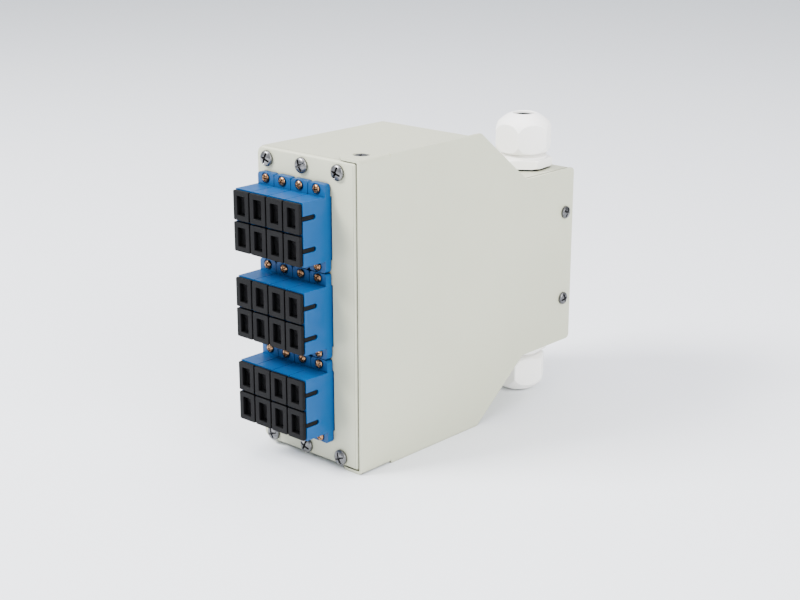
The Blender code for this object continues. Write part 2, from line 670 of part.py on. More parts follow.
def latch_mesh():
    """The sliding half about its own rest place: slide plate, hook under the rail, pull slot."""
    half = CHANNEL_HALF_WIDTH - GAP
    neck = THROAT_HALF_WIDTH - GAP
    rail_bottom = MIDDLE_Z - RAIL_HEIGHT / 2 - 0.4 * MM
    plate_y = (CHANNEL_FRONT_Y + GAP, CHANNEL_REAR_Y - GAP)
    neck_y = (plate_y[1] - 0.5 * MM, SEAT_Y + GAP + 0.5 * MM)
    hook_y = (SEAT_Y + GAP, HOOK_REAR_Y)
    hook_z = (LATCH_HOOK_Z, rail_bottom)
    lip_y = (SEAT_Y + RAIL_SLOT, HOOK_REAR_Y)
    lip_z = (rail_bottom - 0.5 * MM, rail_bottom + HOOK_OVERLAP)
    pull_y = (130 * MM, 145 * MM)
    pull_z = (LATCH_BOTTOM_Z + 1.4 * MM, LATCH_BOTTOM_Z + 3.4 * MM)
    plate = block((-half, half), plate_y, (LATCH_BOTTOM_Z, LATCH_TOP_Z))
    steps = [
        ("UNION", block((-neck, neck), neck_y, hook_z)),
        ("UNION", block((-half, half), hook_y, hook_z)),
        ("UNION", block((-half, half), lip_y, lip_z)),
        ("DIFFERENCE", block((-2.6 * MM, 2.6 * MM), pull_y, pull_z)),
    ]
    return to_mesh(combined(plate, steps), "rail_latch")


def spring_mesh():
    """Extension spring between the latch's end and the top of its channel."""
    low = LATCH_TOP_Z + GAP + SPRING_WIRE
    high = CHANNEL_TOP_Z - GAP - SPRING_WIRE
    around = 10
    sides = 4
    centre = Vector((0.0, (CHANNEL_FRONT_Y + CHANNEL_REAR_Y) / 2, 0.0))
    bm = bmesh.new()
    rings = []
    for index in range(SPRING_TURNS * around + 1):
        angle = 2 * math.pi * index / around
        height = low + (high - low) * index / (SPRING_TURNS * around)
        outward = Vector((math.cos(angle), math.sin(angle), 0.0))
        ring = []
        for side in range(sides):
            turn = 2 * math.pi * side / sides
            offset = outward * (SPRING_RADIUS + SPRING_WIRE * math.cos(turn))
            rise = Vector((0.0, 0.0, height + SPRING_WIRE * math.sin(turn)))
            ring.append(bm.verts.new(centre + offset + rise))
        rings.append(ring)
    for here, there in zip(rings, rings[1:]):
        for side in range(sides):
            after = (side + 1) % sides
            bm.faces.new((here[side], here[after], there[after], there[side]))
    bm.faces.new(rings[0])
    bm.faces.new(rings[-1])
    return to_mesh(bm, "latch_spring")


def build_rail_clip(frame, zinc, black):
    add_object("rail_bracket", bracket_mesh(), zinc, frame)
    add_object("rail_latch", latch_mesh(), black, frame)
    add_object("latch_spring", spring_mesh(), zinc, frame)


# ---- splice tray ---------------------------------------------------------------------------

def tray_mesh():
    """Shallow tray with two fibre drums and a comb that holds the splices between them."""
    outline = rounded(rectangle(*TRAY_Y, *TRAY_Z), TRAY_CORNER)
    pocket = inset_outline(rectangle(*TRAY_Y, *TRAY_Z), [TRAY_SHEET] * 4)
    pocket = rounded(pocket, TRAY_CORNER - TRAY_SHEET)
    floor_x = TRAY_BACK_X + TRAY_SHEET
    middle_y = sum(TRAY_Y) / 2
    steps = [("DIFFERENCE", prism(pocket, "X", floor_x, TRAY_RIM_X + MM))]
    for z in TRAY_DRUM_ZS:
        drum = cylinder("X", middle_y, z, TRAY_DRUM_R, floor_x - 0.5 * MM, TRAY_RIM_X - MM, 20)
        hollow = cylinder("X", middle_y, z, TRAY_DRUM_R - TRAY_SHEET, floor_x, TRAY_RIM_X + MM, 20)
        steps += [("UNION", drum), ("DIFFERENCE", hollow)]
    comb_z = (MIDDLE_Z - 9 * MM, MIDDLE_Z + 9 * MM)
    for index in range(TRAY_COMB_RIBS):
        y = middle_y + (index - (TRAY_COMB_RIBS - 1) / 2) * 3.4 * MM
        rib = block((floor_x - 0.5 * MM, floor_x + 5 * MM), (y - 0.5 * MM, y + 0.5 * MM), comb_z)
        steps.append(("UNION", rib))
    return to_mesh(combined(prism(outline, "X", TRAY_BACK_X, TRAY_RIM_X), steps), "splice_tray")


def lid_mesh():
    outline = rounded(rectangle(*TRAY_Y, *TRAY_Z), TRAY_CORNER)
    return to_mesh(prism(outline, "X", TRAY_RIM_X + GAP, TRAY_RIM_X + GAP + LID_SHEET), "tray_lid")


# ---- assembly ------------------------------------------------------------------------------

def main():
    clear_scene()
    paint = make_material("cream_paint", (0.66, 0.67, 0.60), 0.55)
    blue = make_material("adapter_blue", (0.02, 0.22, 0.52), 0.4)
    black = make_material("cap_black", (0.03, 0.03, 0.03), 0.5)
    nylon = make_material("white_nylon", (0.86, 0.85, 0.82), 0.45)
    rubber = make_material("seal_rubber", (0.02, 0.02, 0.02), 0.8)
    zinc = make_material("zinc_steel", (0.55, 0.55, 0.56), 0.3, metallic=1.0)
    tray_grey = make_material("tray_plastic", (0.70, 0.70, 0.68), 0.5)
    clear = make_material("lid_clear", (0.9, 0.93, 0.95), 0.1, alpha=0.35)

    frame = add_empty("box_frame", location=FRAME_OFFSET)
    add_object("body_shell", shell_mesh(), paint, frame)
    add_object("side_cover", cover_mesh(), paint, frame)
    add_object("front_panel", panel_mesh(), paint, frame)
    build_adapters(frame, blue, black)
    build_glands(frame, nylon, rubber)
    build_screws(frame, zinc)
    build_rail_clip(frame, zinc, black)
    add_object("splice_tray", tray_mesh(), tray_grey, frame)
    add_object("tray_lid", lid_mesh(), clear, frame)


main()
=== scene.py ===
"""Looks of a rail-mount fibre termination box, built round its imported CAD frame.

Lengths are metres in the frame's own axes: +Z up, the adapters face -Y, the screwed cover faces +X.
Shapes are laid out from the box's working origin: the middle of the rail clip in X, the front of
the adapter plate in Y and the ground in Z.
"""

import math

import bmesh
import bpy
from mathutils import Matrix, Vector


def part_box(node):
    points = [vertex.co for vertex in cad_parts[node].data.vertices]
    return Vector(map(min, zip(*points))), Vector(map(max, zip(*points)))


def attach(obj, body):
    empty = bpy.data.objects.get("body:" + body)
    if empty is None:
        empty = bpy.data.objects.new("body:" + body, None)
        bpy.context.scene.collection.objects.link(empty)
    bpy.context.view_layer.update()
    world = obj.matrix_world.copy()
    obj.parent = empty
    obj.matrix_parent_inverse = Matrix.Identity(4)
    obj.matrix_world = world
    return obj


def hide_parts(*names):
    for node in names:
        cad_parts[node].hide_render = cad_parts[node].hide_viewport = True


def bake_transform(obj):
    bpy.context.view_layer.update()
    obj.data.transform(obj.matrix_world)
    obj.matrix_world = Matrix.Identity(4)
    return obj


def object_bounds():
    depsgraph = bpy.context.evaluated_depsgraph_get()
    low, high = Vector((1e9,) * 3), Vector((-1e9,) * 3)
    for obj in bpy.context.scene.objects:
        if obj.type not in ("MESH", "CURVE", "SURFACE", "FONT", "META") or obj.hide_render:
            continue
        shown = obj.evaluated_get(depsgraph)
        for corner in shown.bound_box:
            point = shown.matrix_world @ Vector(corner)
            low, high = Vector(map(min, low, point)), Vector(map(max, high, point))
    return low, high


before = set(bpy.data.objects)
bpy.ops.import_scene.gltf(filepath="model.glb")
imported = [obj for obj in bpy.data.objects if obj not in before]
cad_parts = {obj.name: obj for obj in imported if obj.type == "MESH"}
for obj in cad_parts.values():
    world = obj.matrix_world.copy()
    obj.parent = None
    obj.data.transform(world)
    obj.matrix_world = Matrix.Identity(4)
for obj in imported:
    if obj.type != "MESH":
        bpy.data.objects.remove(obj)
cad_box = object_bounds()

MM = 0.001
GAP = 0.3 * MM

# ---- places read from the frame ------------------------------------------------------------

PANEL_LOW, PANEL_HIGH = (Vector(corner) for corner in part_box("front_panel"))
COVER_LOW, COVER_HIGH = (Vector(corner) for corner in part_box("side_cover"))
SHELL_LOW, SHELL_HIGH = (Vector(corner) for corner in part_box("body_shell"))
BRACKET_LOW, BRACKET_HIGH = (Vector(corner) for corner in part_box("rail_bracket"))
ORIGIN = Vector(((BRACKET_LOW.x + BRACKET_HIGH.x) / 2, PANEL_LOW.y, COVER_LOW.z))

# ---- sizes that the frame doesn't name -----------------------------------------------------

CASE_HEIGHT = COVER_HIGH.z - COVER_LOW.z
CASE_DEPTH = COVER_HIGH.y - ORIGIN.y
COVER_X = COVER_HIGH.x - ORIGIN.x
COVER_SHEET = 1.2 * MM
COVER_FRONT_Y = COVER_LOW.y - ORIGIN.y
CHAMFER_START_Y = 70.5 * MM
CHAMFER_END_Y = 100.7 * MM
NECK_INSET = 23.7 * MM
EDGE_LIP = SHELL_LOW.z - COVER_LOW.z
REAR_LIP = COVER_HIGH.y - SHELL_HIGH.y
SHELL_SHEET = 1.2 * MM
SHELL_LEFT_X = SHELL_LOW.x - ORIGIN.x
SHELL_RIGHT_X = SHELL_HIGH.x - ORIGIN.x
SHELL_FRONT_Y = SHELL_LOW.y - ORIGIN.y
BEND_RADIUS = 2.0 * MM
SIDE_BEND = 2.6 * MM
SEAM = 0.5 * MM
LIP_HEIGHT = 8.9 * MM
LIP_OVERLAP = 0.2 * MM
EAR_DEPTH = 4.5 * MM
EAR_HALF_HEIGHT = 4.0 * MM
TAB_INNER_X = COVER_LOW.x - ORIGIN.x
TAB_DEPTH = 17.0 * MM
TAB_CORNER = 6.0 * MM
TAB_LEG = 4.0 * MM
TAB_SCREW = (20.8 * MM, 8.8 * MM)
REAR_SCREW_Y = 128.4 * MM
REAR_SCREW_ZS = (43.3 * MM, 82.2 * MM)
PANEL_SHEET = PANEL_HIGH.y - PANEL_LOW.y
PANEL_SCREW_XS = (-21.3 * MM, -2.1 * MM, 17.1 * MM)
PANEL_SCREW_ZS = (4.9 * MM, 119.0 * MM)
COVER_HOLE_R = 1.7 * MM
PANEL_HOLE_R = 1.9 * MM
HEAD_GAP = 0.02 * MM
WELD_MARKS = ((4.4 * MM, 50.4 * MM), (3.1 * MM, 32.7 * MM))

ADAPTER_PITCH_X = 9.24 * MM
ADAPTER_HALF = (ADAPTER_PITCH_X - GAP) / 2
ADAPTER_BODY_HEIGHT = 24.8 * MM
ADAPTER_REAR_HEIGHT = 24.4 * MM
ADAPTER_FRONT_Y = -14.7 * MM
ADAPTER_REAR_Y = 13.0 * MM
FLANGE_HEIGHT = 34.4 * MM
FLANGE_FRONT_Y = -3.1 * MM
PORT_PITCH_Z = 12.4 * MM
PORT_WIDTH = 7.0 * MM
PORT_HEIGHT = 9.2 * MM
KEYWAY_END_Y = -8.1 * MM
SOCKET_FRONT_Y = -8.1 * MM
FLANGE_SCREW_Z = 15.1 * MM

GLAND_X = 10.5 * MM
GLAND_Y = 120.2 * MM
GLAND_FLATS = 22.0 * MM
GLAND_CORNER = GLAND_FLATS / math.sqrt(3)
GLAND_THREAD_R = 9.3 * MM
GLAND_BORE_R = 6.3 * MM
WASHER_SHEET = 0.8 * MM
THREAD_PITCH = 1.5 * MM
FLANGE_TURN = math.radians(-23)
NUT_TURN = math.radians(-2)

# Four edges of the cover's side view, counted as side_outline() lists them.
NECK_FLOOR, REAR, NECK_ROOF, FRONT = 2, 3, 4, 7

FACING_FRONT = (math.pi / 2, 0, 0)
FACING_COVER = (0, math.pi / 2, 0)


# ---- meshes --------------------------------------------------------------------------------

def rectangle(low_a, high_a, low_b, high_b):
    """A rectangle's corners, counterclockwise from the lowest."""
    return [(low_a, low_b), (high_a, low_b), (high_a, high_b), (low_a, high_b)]


def rounded(points, radii, steps=6):
    """Replace each corner of an outline by an arc of its own radius."""
    outline = []
    for index, corner in enumerate(points):
        radius = radii[index] if isinstance(radii, (list, tuple)) else radii
        corner = Vector(corner)
        before = (Vector(points[index - 1]) - corner).normalized()
        after = (Vector(points[(index + 1) % len(points)]) - corner).normalized()
        half = before.angle(after) / 2
        if radius <= 0:
            outline.append(tuple(corner))
            continue
        centre = corner + (before + after).normalized() * (radius / math.sin(half))
        start = corner + before * (radius / math.tan(half)) - centre
        turn = math.pi - 2 * half
        if before.x * after.y - before.y * after.x > 0:
            turn = -turn
        for step in range(steps + 1):
            outline.append(tuple(centre + Matrix.Rotation(turn * step / steps, 2) @ start))
    return outline


def inset_outline(points, distances):
    """Move each edge of a counterclockwise outline inwards by its own distance."""
    lines = []
    for index, start in enumerate(points):
        start = Vector(start)
        along = (Vector(points[(index + 1) % len(points)]) - start).normalized()
        inward = Vector((-along.y, along.x))
        lines.append((start + inward * distances[index], along))
    corners = []
    for index, (point, along) in enumerate(lines):
        other_point, other_along = lines[index - 1]
        cross = along.x * other_along.y - along.y * other_along.x
        offset = other_point - point
        reach = (offset.x * other_along.y - offset.y * other_along.x) / cross
        corners.append(tuple(point + along * reach))
    return corners


def side_outline():
    """The cover's side view as (y, z): a full-height front, two chamfers and a shorter neck."""
    neck_top = CASE_HEIGHT - NECK_INSET
    return [
        (COVER_FRONT_Y, 0.0),
        (CHAMFER_START_Y, 0.0),
        (CHAMFER_END_Y, NECK_INSET),
        (CASE_DEPTH, NECK_INSET),
        (CASE_DEPTH, neck_top),
        (CHAMFER_END_Y, neck_top),
        (CHAMFER_START_Y, CASE_HEIGHT),
        (COVER_FRONT_Y, CASE_HEIGHT),
    ]


def place(axis, a, b, along):
    """The point at (a, b) across an axis and at a distance along it."""
    if axis == "X":
        return Vector((along, a, b))
    if axis == "Y":
        return Vector((a, along, b))
    return Vector((a, b, along))


def prism(outline, axis, low, high, end_scale=1.0, centre=(0.0, 0.0)):
    """A closed solid: the outline run along one axis, its far end scaled about a centre."""
    bm = bmesh.new()
    ends = []
    for along, scale in ((low, 1.0), (high, end_scale)):
        ring = []
        for a, b in outline:
            across = centre[0] + (a - centre[0]) * scale
            up = centre[1] + (b - centre[1]) * scale
            ring.append(bm.verts.new(place(axis, across, up, along)))
        ends.append(ring)
    count = len(outline)
    bm.faces.new(ends[0])
    bm.faces.new(ends[1])
    for index in range(count):
        after = (index + 1) % count
        bm.faces.new((ends[0][index], ends[0][after], ends[1][after], ends[1][index]))
    bmesh.ops.recalc_face_normals(bm, faces=bm.faces)
    return bm


def lofted(rings):
    """A closed solid through rings of the same number of points."""
    bm = bmesh.new()
    verts = [[bm.verts.new(spot) for spot in ring] for ring in rings]
    bm.faces.new(verts[0])
    bm.faces.new(verts[-1])
    for here, there in zip(verts, verts[1:]):
        for index in range(len(here)):
            after = (index + 1) % len(here)
            bm.faces.new((here[index], here[after], there[after], there[index]))
    bmesh.ops.recalc_face_normals(bm, faces=bm.faces)
    return bm


def block(x_range, y_range, z_range):
    """A box between the ends of three ranges."""
    return prism(rectangle(*x_range, *y_range), "Z", *z_range)


def circle(a, b, radius, sides):
    """A polygon of that many sides with its corners on a circle."""
    angles = [2 * math.pi * (index + 0.5) / sides for index in range(sides)]
    return [(a + radius * math.cos(angle), b + radius * math.sin(angle)) for angle in angles]


def cylinder(axis, a, b, radius, low, high, sides=32, end_radius=None):
    """A cylinder along an axis, or a cone where its far end has its own radius."""
    scale = 1.0 if end_radius is None else end_radius / radius
    return prism(circle(a, b, radius, sides), axis, low, high, scale, (a, b))


def round_rim(bm, chosen, radius, segments):
    """Round the edges whose two ends both pass the test."""
    rim = [edge for edge in bm.edges if all(chosen(vert.co) for vert in edge.verts)]
    bmesh.ops.bevel(bm, geom=rim, offset=radius, segments=segments, profile=0.5, affect="EDGES")


def arc(centre_a, centre_b, radius, start, end):
    """Points of an arc in degrees, both ends counted."""
    steps = 6
    angles = [math.radians(start + (end - start) * step / steps) for step in range(steps + 1)]
    return [(centre_a + radius * math.cos(a), centre_b + radius * math.sin(a)) for a in angles]


def turned(profile, sides=64):
    """Turn a closed (radius, height) profile about Z; a profile touching the axis is solid."""
    bm = bmesh.new()
    rings = []
    for radius, height in profile:
        if radius < 1e-9:
            rings.append([bm.verts.new((0.0, 0.0, height))] * sides)
            continue
        angles = [2 * math.pi * index / sides for index in range(sides)]
        spots = [(radius * math.cos(a), radius * math.sin(a), height) for a in angles]
        rings.append([bm.verts.new(spot) for spot in spots])
    for here, there in zip(rings, rings[1:] + rings[:1]):
        if here[0] is here[1] and there[0] is there[1]:
            continue
        for index in range(sides):
            after = (index + 1) % sides
            corners = [here[index], here[after], there[after], there[index]]
            bm.faces.new(list(dict.fromkeys(corners)))
    bmesh.ops.recalc_face_normals(bm, faces=bm.faces)
    return bm


def to_mesh(bm, name):
    """Turn a bmesh with its faces outwards into a mesh, and free it."""
    bmesh.ops.recalc_face_normals(bm, faces=bm.faces)
    mesh = bpy.data.meshes.new(name)
    bm.to_mesh(mesh)
    bm.free()
    return mesh


def combined(base, steps):
    """Apply Boolean steps, each an (operation, bmesh) pair, to a base bmesh and return a bmesh."""
    body = bpy.data.objects.new("body", to_mesh(base, "body"))
    bpy.context.scene.collection.objects.link(body)
    tools = []
    for operation, shape in steps:
        tool = bpy.data.objects.new("tool", to_mesh(shape, "tool"))
        bpy.context.scene.collection.objects.link(tool)
        modifier = body.modifiers.new("boolean", "BOOLEAN")
        modifier.operation = operation
        modifier.object = tool
        modifier.solver = "EXACT"
        tools.append(tool)
    result = bmesh.new()
    result.from_object(body, bpy.context.evaluated_depsgraph_get())
    bmesh.ops.remove_doubles(result, verts=result.verts, dist=1e-6)
    bmesh.ops.dissolve_degenerate(result, edges=result.edges, dist=1e-6)
    for item in [body] + tools:
        bpy.data.objects.remove(item, do_unlink=True)
    return result


def evaluated_mesh(item):
    """The object's mesh with its modifiers applied; the object itself is removed."""
    graph = bpy.context.evaluated_depsgraph_get()
    mesh = bpy.data.meshes.new_from_object(item.evaluated_get(graph))
    bpy.data.objects.remove(item, do_unlink=True)
    return mesh


def finished(bm, name, edge, segments=2, angle=30):
    """The final mesh: every edge that turns by more than the angle is rounded, flat faces stay flat."""
    item = bpy.data.objects.new("rough", to_mesh(bm, name))
    bpy.context.scene.collection.objects.link(item)
    bevel = item.modifiers.new("edges", "BEVEL")
    bevel.width = edge
    bevel.segments = segments
    bevel.limit_method = "ANGLE"
    bevel.angle_limit = math.radians(angle)
    bevel.miter_outer = "MITER_ARC"
    bevel.use_clamp_overlap = True
    beveled = evaluated_mesh(item)
    beveled.shade_smooth()
    beveled.set_sharp_from_angle(angle=math.radians(angle + 12))
    item = bpy.data.objects.new("smooth", beveled)
    bpy.context.scene.collection.objects.link(item)
    weighted = item.modifiers.new("flat faces", "WEIGHTED_NORMAL")
    weighted.weight = 100
    weighted.keep_sharp = True
    result = evaluated_mesh(item)
    result.name = name
    return result


# ---- materials -----------------------------------------------------------------------------

PIECE_SHIFT = (3.7, 2.9, 5.3)


class Nodes:
    """A short way to wire a material's nodes."""

    def __init__(self, name):
        self.material = bpy.data.materials.new(name)
        self.material.use_nodes = True
        self.tree = self.material.node_tree
        self.shader = self.tree.nodes["Principled BSDF"]

    def add(self, kind, **settings):
        node = self.tree.nodes.new(kind)
        for key, value in settings.items():
            if hasattr(node, key):
                setattr(node, key, value)
                continue
            socket = node.inputs[key.replace("_", " ")]
            if isinstance(value, bpy.types.NodeSocket):
                self.tree.links.new(value, socket)
            else:
                socket.default_value = value
        return node

    def link(self, output, socket):
        self.tree.links.new(output, socket)

    def spot(self):
        """The place on the piece, moved by a different amount on each piece."""
        where = self.add("ShaderNodeTexCoord").outputs["Object"]
        number = self.add("ShaderNodeObjectInfo").outputs["Random"]
        shifted = self.add("ShaderNodeVectorMath", operation="MULTIPLY_ADD")
        self.link(number, shifted.inputs[0])
        shifted.inputs[1].default_value = PIECE_SHIFT
        self.link(where, shifted.inputs[2])
        return shifted.outputs["Vector"]

    def noise(self, spot, scale, detail=2.0, roughness=0.5):
        node = self.add("ShaderNodeTexNoise", Vector=spot, Scale=scale, Detail=detail)
        node.inputs["Roughness"].default_value = roughness
        return node.outputs["Fac"]

    def ranged(self, value, low, high, to_low, to_high):
        node = self.add("ShaderNodeMapRange", Value=value)
        limits = {"From Min": low, "From Max": high, "To Min": to_low, "To Max": to_high}
        for name, number in limits.items():
            node.inputs[name].default_value = number
        return node.outputs["Result"]

    def times(self, first, second):
        node = self.add("ShaderNodeMath", operation="MULTIPLY")
        for socket, value in zip(node.inputs, (first, second)):
            if isinstance(value, bpy.types.NodeSocket):
                self.link(value, socket)
            else:
                socket.default_value = value
        return node.outputs[0]

    def mix(self, amount, first, second):
        """Colour first where amount is 0 and second where it is 1."""
        node = self.add("ShaderNodeMix", data_type="RGBA")
        for index, value in ((0, amount), (6, first), (7, second)):
            if isinstance(value, bpy.types.NodeSocket):
                self.link(value, node.inputs[index])
            else:
                node.inputs[index].default_value = value
        return node.outputs[2]

    def edges(self, radius):
        """1 along the piece's edges and 0 on its faces."""
        soft = self.add("ShaderNodeBevel", samples=4)
        soft.inputs["Radius"].default_value = radius
        hard = self.add("ShaderNodeNewGeometry").outputs["Normal"]
        dot = self.add("ShaderNodeVectorMath", operation="DOT_PRODUCT")
        self.link(soft.outputs[0], dot.inputs[0])
        self.link(hard, dot.inputs[1])
        return self.ranged(dot.outputs["Value"], 0.98, 0.7, 0.0, 1.0)

    def corners(self, distance, openness=0.75):
        """1 in corners and under overhangs, 0 where more of the surroundings is open than stated."""
        node = self.add("ShaderNodeAmbientOcclusion", samples=4)
        node.inputs["Distance"].default_value = distance
        return self.ranged(node.outputs["AO"], openness, 0.2, 0.0, 1.0)

    def bump(self, height, strength, distance, normal=None):
        node = self.add("ShaderNodeBump", Height=height, Strength=strength, Distance=distance)
        if normal:
            self.link(normal, node.inputs["Normal"])
        return node.outputs["Normal"]


def rgba(red, green, blue):
    """An opaque colour."""
    return (red, green, blue, 1.0)


def shade(colour, factor):
    """The colour made darker or lighter, and opaque."""
    return rgba(*(min(1.0, channel * factor) for channel in colour[:3]))


def powder_coat(name, colour):
    """Satin powder coat: orange peel, faint clouds, painted highlight on its edges, painted shade in its
    corners and gaps.
    """
    nodes = Nodes(name)
    spot = nodes.spot()
    clouds = nodes.ranged(nodes.noise(spot, 22.0, 3.0), 0.3, 0.7, 0.0, 1.0)
    base = nodes.mix(clouds, shade(colour, 0.965), shade(colour, 1.02))
    speck = nodes.ranged(nodes.noise(spot, 900.0, 1.0), 0.68, 0.78, 0.0, 0.10)
    base = nodes.mix(speck, base, shade(colour, 0.72))
    # Painted highlight with some edge wear: the rounded edges are lightened in patches, standing in for
    # the light they catch.
    thin = nodes.edges(0.5 * MM)
    edge_wear_and_highlight = nodes.times(thin, nodes.ranged(nodes.noise(spot, 160.0), 0.35, 0.65, 0.3, 0.7))
    base = nodes.mix(edge_wear_and_highlight, base, shade(colour, 1.3))
    # Painted shade with some dusty patches: corners and places under overhangs are darkened by an
    # occlusion mask.
    inner = nodes.corners(2.5 * MM)
    shade_and_dust = nodes.times(inner, nodes.ranged(nodes.noise(spot, 90.0), 0.2, 0.8, 0.15, 0.45))
    base = nodes.mix(shade_and_dust, base, shade(colour, 0.55))
    # Painted shade: narrow gaps and tight corners are painted near black.
    base = nodes.mix(nodes.corners(2.0 * MM, 0.5), base, rgba(0.03, 0.026, 0.02))
    nodes.link(base, nodes.shader.inputs["Base Color"])
    gloss = nodes.ranged(nodes.noise(spot, 45.0, 3.0), 0.3, 0.7, 0.38, 0.5)
    nodes.link(gloss, nodes.shader.inputs["Roughness"])
    nodes.shader.inputs["Coat Weight"].default_value = 0.15
    nodes.shader.inputs["Coat Roughness"].default_value = 0.3
    peel = nodes.bump(nodes.noise(spot, 750.0, 2.0), 0.3, 0.05 * MM)
    grain = nodes.bump(nodes.noise(spot, 3000.0, 1.0), 0.12, 0.02 * MM, peel)
    nodes.link(grain, nodes.shader.inputs["Normal"])
    return nodes.material


def moulded(name, colour, rough, edge_tone, spread, grain, glow=0.0, shade_reach=1.2 * MM,
            shine=0.4, hollow_tone=0.6, hollow_amount=0.4):
    """Moulded plastic: tool grain, faint flow clouds, painted edge highlight and painted shade in dull
    hollows.

    spread is how far the clouds stray from the colour, glow the light scattered inside, and
    shade_reach how far from a corner its darkening starts.
    """
    nodes = Nodes(name)
    spot = nodes.spot()
    clouds = nodes.ranged(nodes.noise(spot, 110.0, 3.0), 0.3, 0.7, 0.0, 1.0)
    base = nodes.mix(clouds, shade(colour, 1.0 - spread), shade(colour, 1.0 + spread))
    number = nodes.add("ShaderNodeObjectInfo").outputs["Random"]
    base = nodes.mix(nodes.times(number, 0.35), base, shade(colour, 1.0 - 2.5 * spread))
    # Painted highlight with some edge wear: the edges are lightened in patches towards edge_tone,
    # standing in for the light they catch.
    edge_mask = nodes.edges(0.25 * MM)
    edge_wear_and_highlight = nodes.times(edge_mask, nodes.ranged(nodes.noise(spot, 420.0), 0.35, 0.65, 0.2, 0.7))
    base = nodes.mix(edge_wear_and_highlight, base, shade(colour, edge_tone))
    # Painted shade with some dusty patches: corners and recesses are darkened towards hollow_tone by an
    # occlusion mask.
    patches = nodes.ranged(nodes.noise(spot, 240.0), 0.2, 0.8, hollow_amount - 0.3, hollow_amount)
    shade_and_dust = nodes.times(nodes.corners(shade_reach), patches)
    base = nodes.mix(shade_and_dust, base, shade(colour, hollow_tone))
    nodes.link(base, nodes.shader.inputs["Base Color"])
    gloss = nodes.ranged(nodes.noise(spot, 180.0, 3.0), 0.3, 0.7, rough - 0.05, rough + 0.08)
    nodes.link(gloss, nodes.shader.inputs["Roughness"])
    if glow:
        nodes.shader.inputs["Subsurface Weight"].default_value = glow
        nodes.shader.inputs["Subsurface Radius"].default_value = (1.0, 0.9, 0.8)
        nodes.shader.inputs["Subsurface Scale"].default_value = 0.8 * MM
    matt = nodes.ranged(nodes.corners(2.5 * shade_reach), 0.0, 1.0, shine, 0.1 * shine)
    nodes.link(matt, nodes.shader.inputs["Specular IOR Level"])
    flow = nodes.bump(nodes.noise(spot, 260.0, 1.0), grain, 0.05 * MM)
    fine = nodes.bump(nodes.noise(spot, 3500.0, 2.0), grain, 0.02 * MM, flow)
    nodes.link(fine, nodes.shader.inputs["Normal"])
    return nodes.material


def plated(name, colour, tint, rough, shade_reach=0.9 * MM):
    """Plated metal: two tones of passivation, fine scratches and painted shade with grime in the corners.
    """
    nodes = Nodes(name)
    spot = nodes.spot()
    clouds = nodes.ranged(nodes.noise(spot, 350.0, 4.0, 0.6), 0.35, 0.65, 0.0, 1.0)
    base = nodes.mix(clouds, colour, tint)
    # Painted shade with some grime: recesses such as the cross and the screw's foot are darkened almost
    # to black.
    inner = nodes.corners(shade_reach)
    dirt_and_shade = nodes.times(inner, nodes.ranged(nodes.noise(spot, 500.0), 0.2, 0.8, 0.5, 0.95))
    base = nodes.mix(dirt_and_shade, base, shade(colour, 0.1))
    nodes.link(base, nodes.shader.inputs["Base Color"])
    nodes.shader.inputs["Metallic"].default_value = 1.0
    gloss = nodes.ranged(nodes.noise(spot, 700.0, 3.0), 0.3, 0.7, rough - 0.08, rough + 0.12)
    nodes.link(gloss, nodes.shader.inputs["Roughness"])
    scratch = nodes.bump(nodes.noise(spot, 1800.0, 3.0), 0.15, 0.03 * MM)
    nodes.link(scratch, nodes.shader.inputs["Normal"])
    return nodes.material


def clear_plastic(name):
    """Clear plastic with a faint haze and a rippled surface."""
    nodes = Nodes(name)
    spot = nodes.spot()
    haze = nodes.ranged(nodes.noise(spot, 60.0, 3.0), 0.3, 0.7, 0.1, 0.22)
    nodes.link(haze, nodes.shader.inputs["Roughness"])
    nodes.shader.inputs["Base Color"].default_value = rgba(0.9, 0.93, 0.95)
    nodes.shader.inputs["Alpha"].default_value = 0.35
    ripple = nodes.bump(nodes.noise(spot, 200.0, 1.0), 0.1, 0.05 * MM)
    nodes.link(ripple, nodes.shader.inputs["Normal"])
    return nodes.material


PAINT = powder_coat("cream_paint", rgba(0.44, 0.448, 0.33))
# hollow_tone and hollow_amount set the painted shade in each plastic's hollows, edge_tone its painted
# edge highlight.
BLUE = moulded(
    "adapter_blue", rgba(0.001, 0.054, 0.175), rough=0.38, edge_tone=1.5, spread=0.05, grain=0.1,
    shade_reach=2.0 * MM, shine=0.22, hollow_tone=0.1, hollow_amount=0.9,
)
BLACK = moulded(
    "cap_black", rgba(0.0040, 0.0041, 0.0046), rough=0.45, edge_tone=2.6, spread=0.06, grain=0.14,
    shade_reach=3.0 * MM, shine=0.07, hollow_tone=0.08, hollow_amount=0.95,
)
NYLON = moulded(
    "white_nylon", rgba(0.93, 0.91, 0.87), rough=0.36, edge_tone=1.05, spread=0.015, grain=0.08,
    glow=0.15,
)
RUBBER = moulded(
    "seal_rubber", rgba(0.01, 0.01, 0.01), rough=0.65, edge_tone=1.5, spread=0.08, grain=0.2, shine=0.15,
)
ZINC = plated("zinc_steel", rgba(0.36, 0.365, 0.37), rgba(0.31, 0.315, 0.32), 0.36)
STEEL = plated("screw_steel", rgba(0.21, 0.21, 0.215), rgba(0.11, 0.11, 0.112), 0.3)
DARK_STEEL = plated("cover_screw_steel", rgba(0.15, 0.15, 0.155), rgba(0.06, 0.06, 0.062), 0.3)
BRASS = plated("screw_brass", rgba(0.44, 0.25, 0.13), rgba(0.20, 0.10, 0.05), 0.22)
SPRING = plated("spring_steel", rgba(0.30, 0.30, 0.305), rgba(0.24, 0.24, 0.245), 0.28, 0.12 * MM)
LATCH = moulded(
    "latch_plastic", rgba(0.035, 0.035, 0.04), rough=0.45, edge_tone=1.8, spread=0.06, grain=0.15,
)
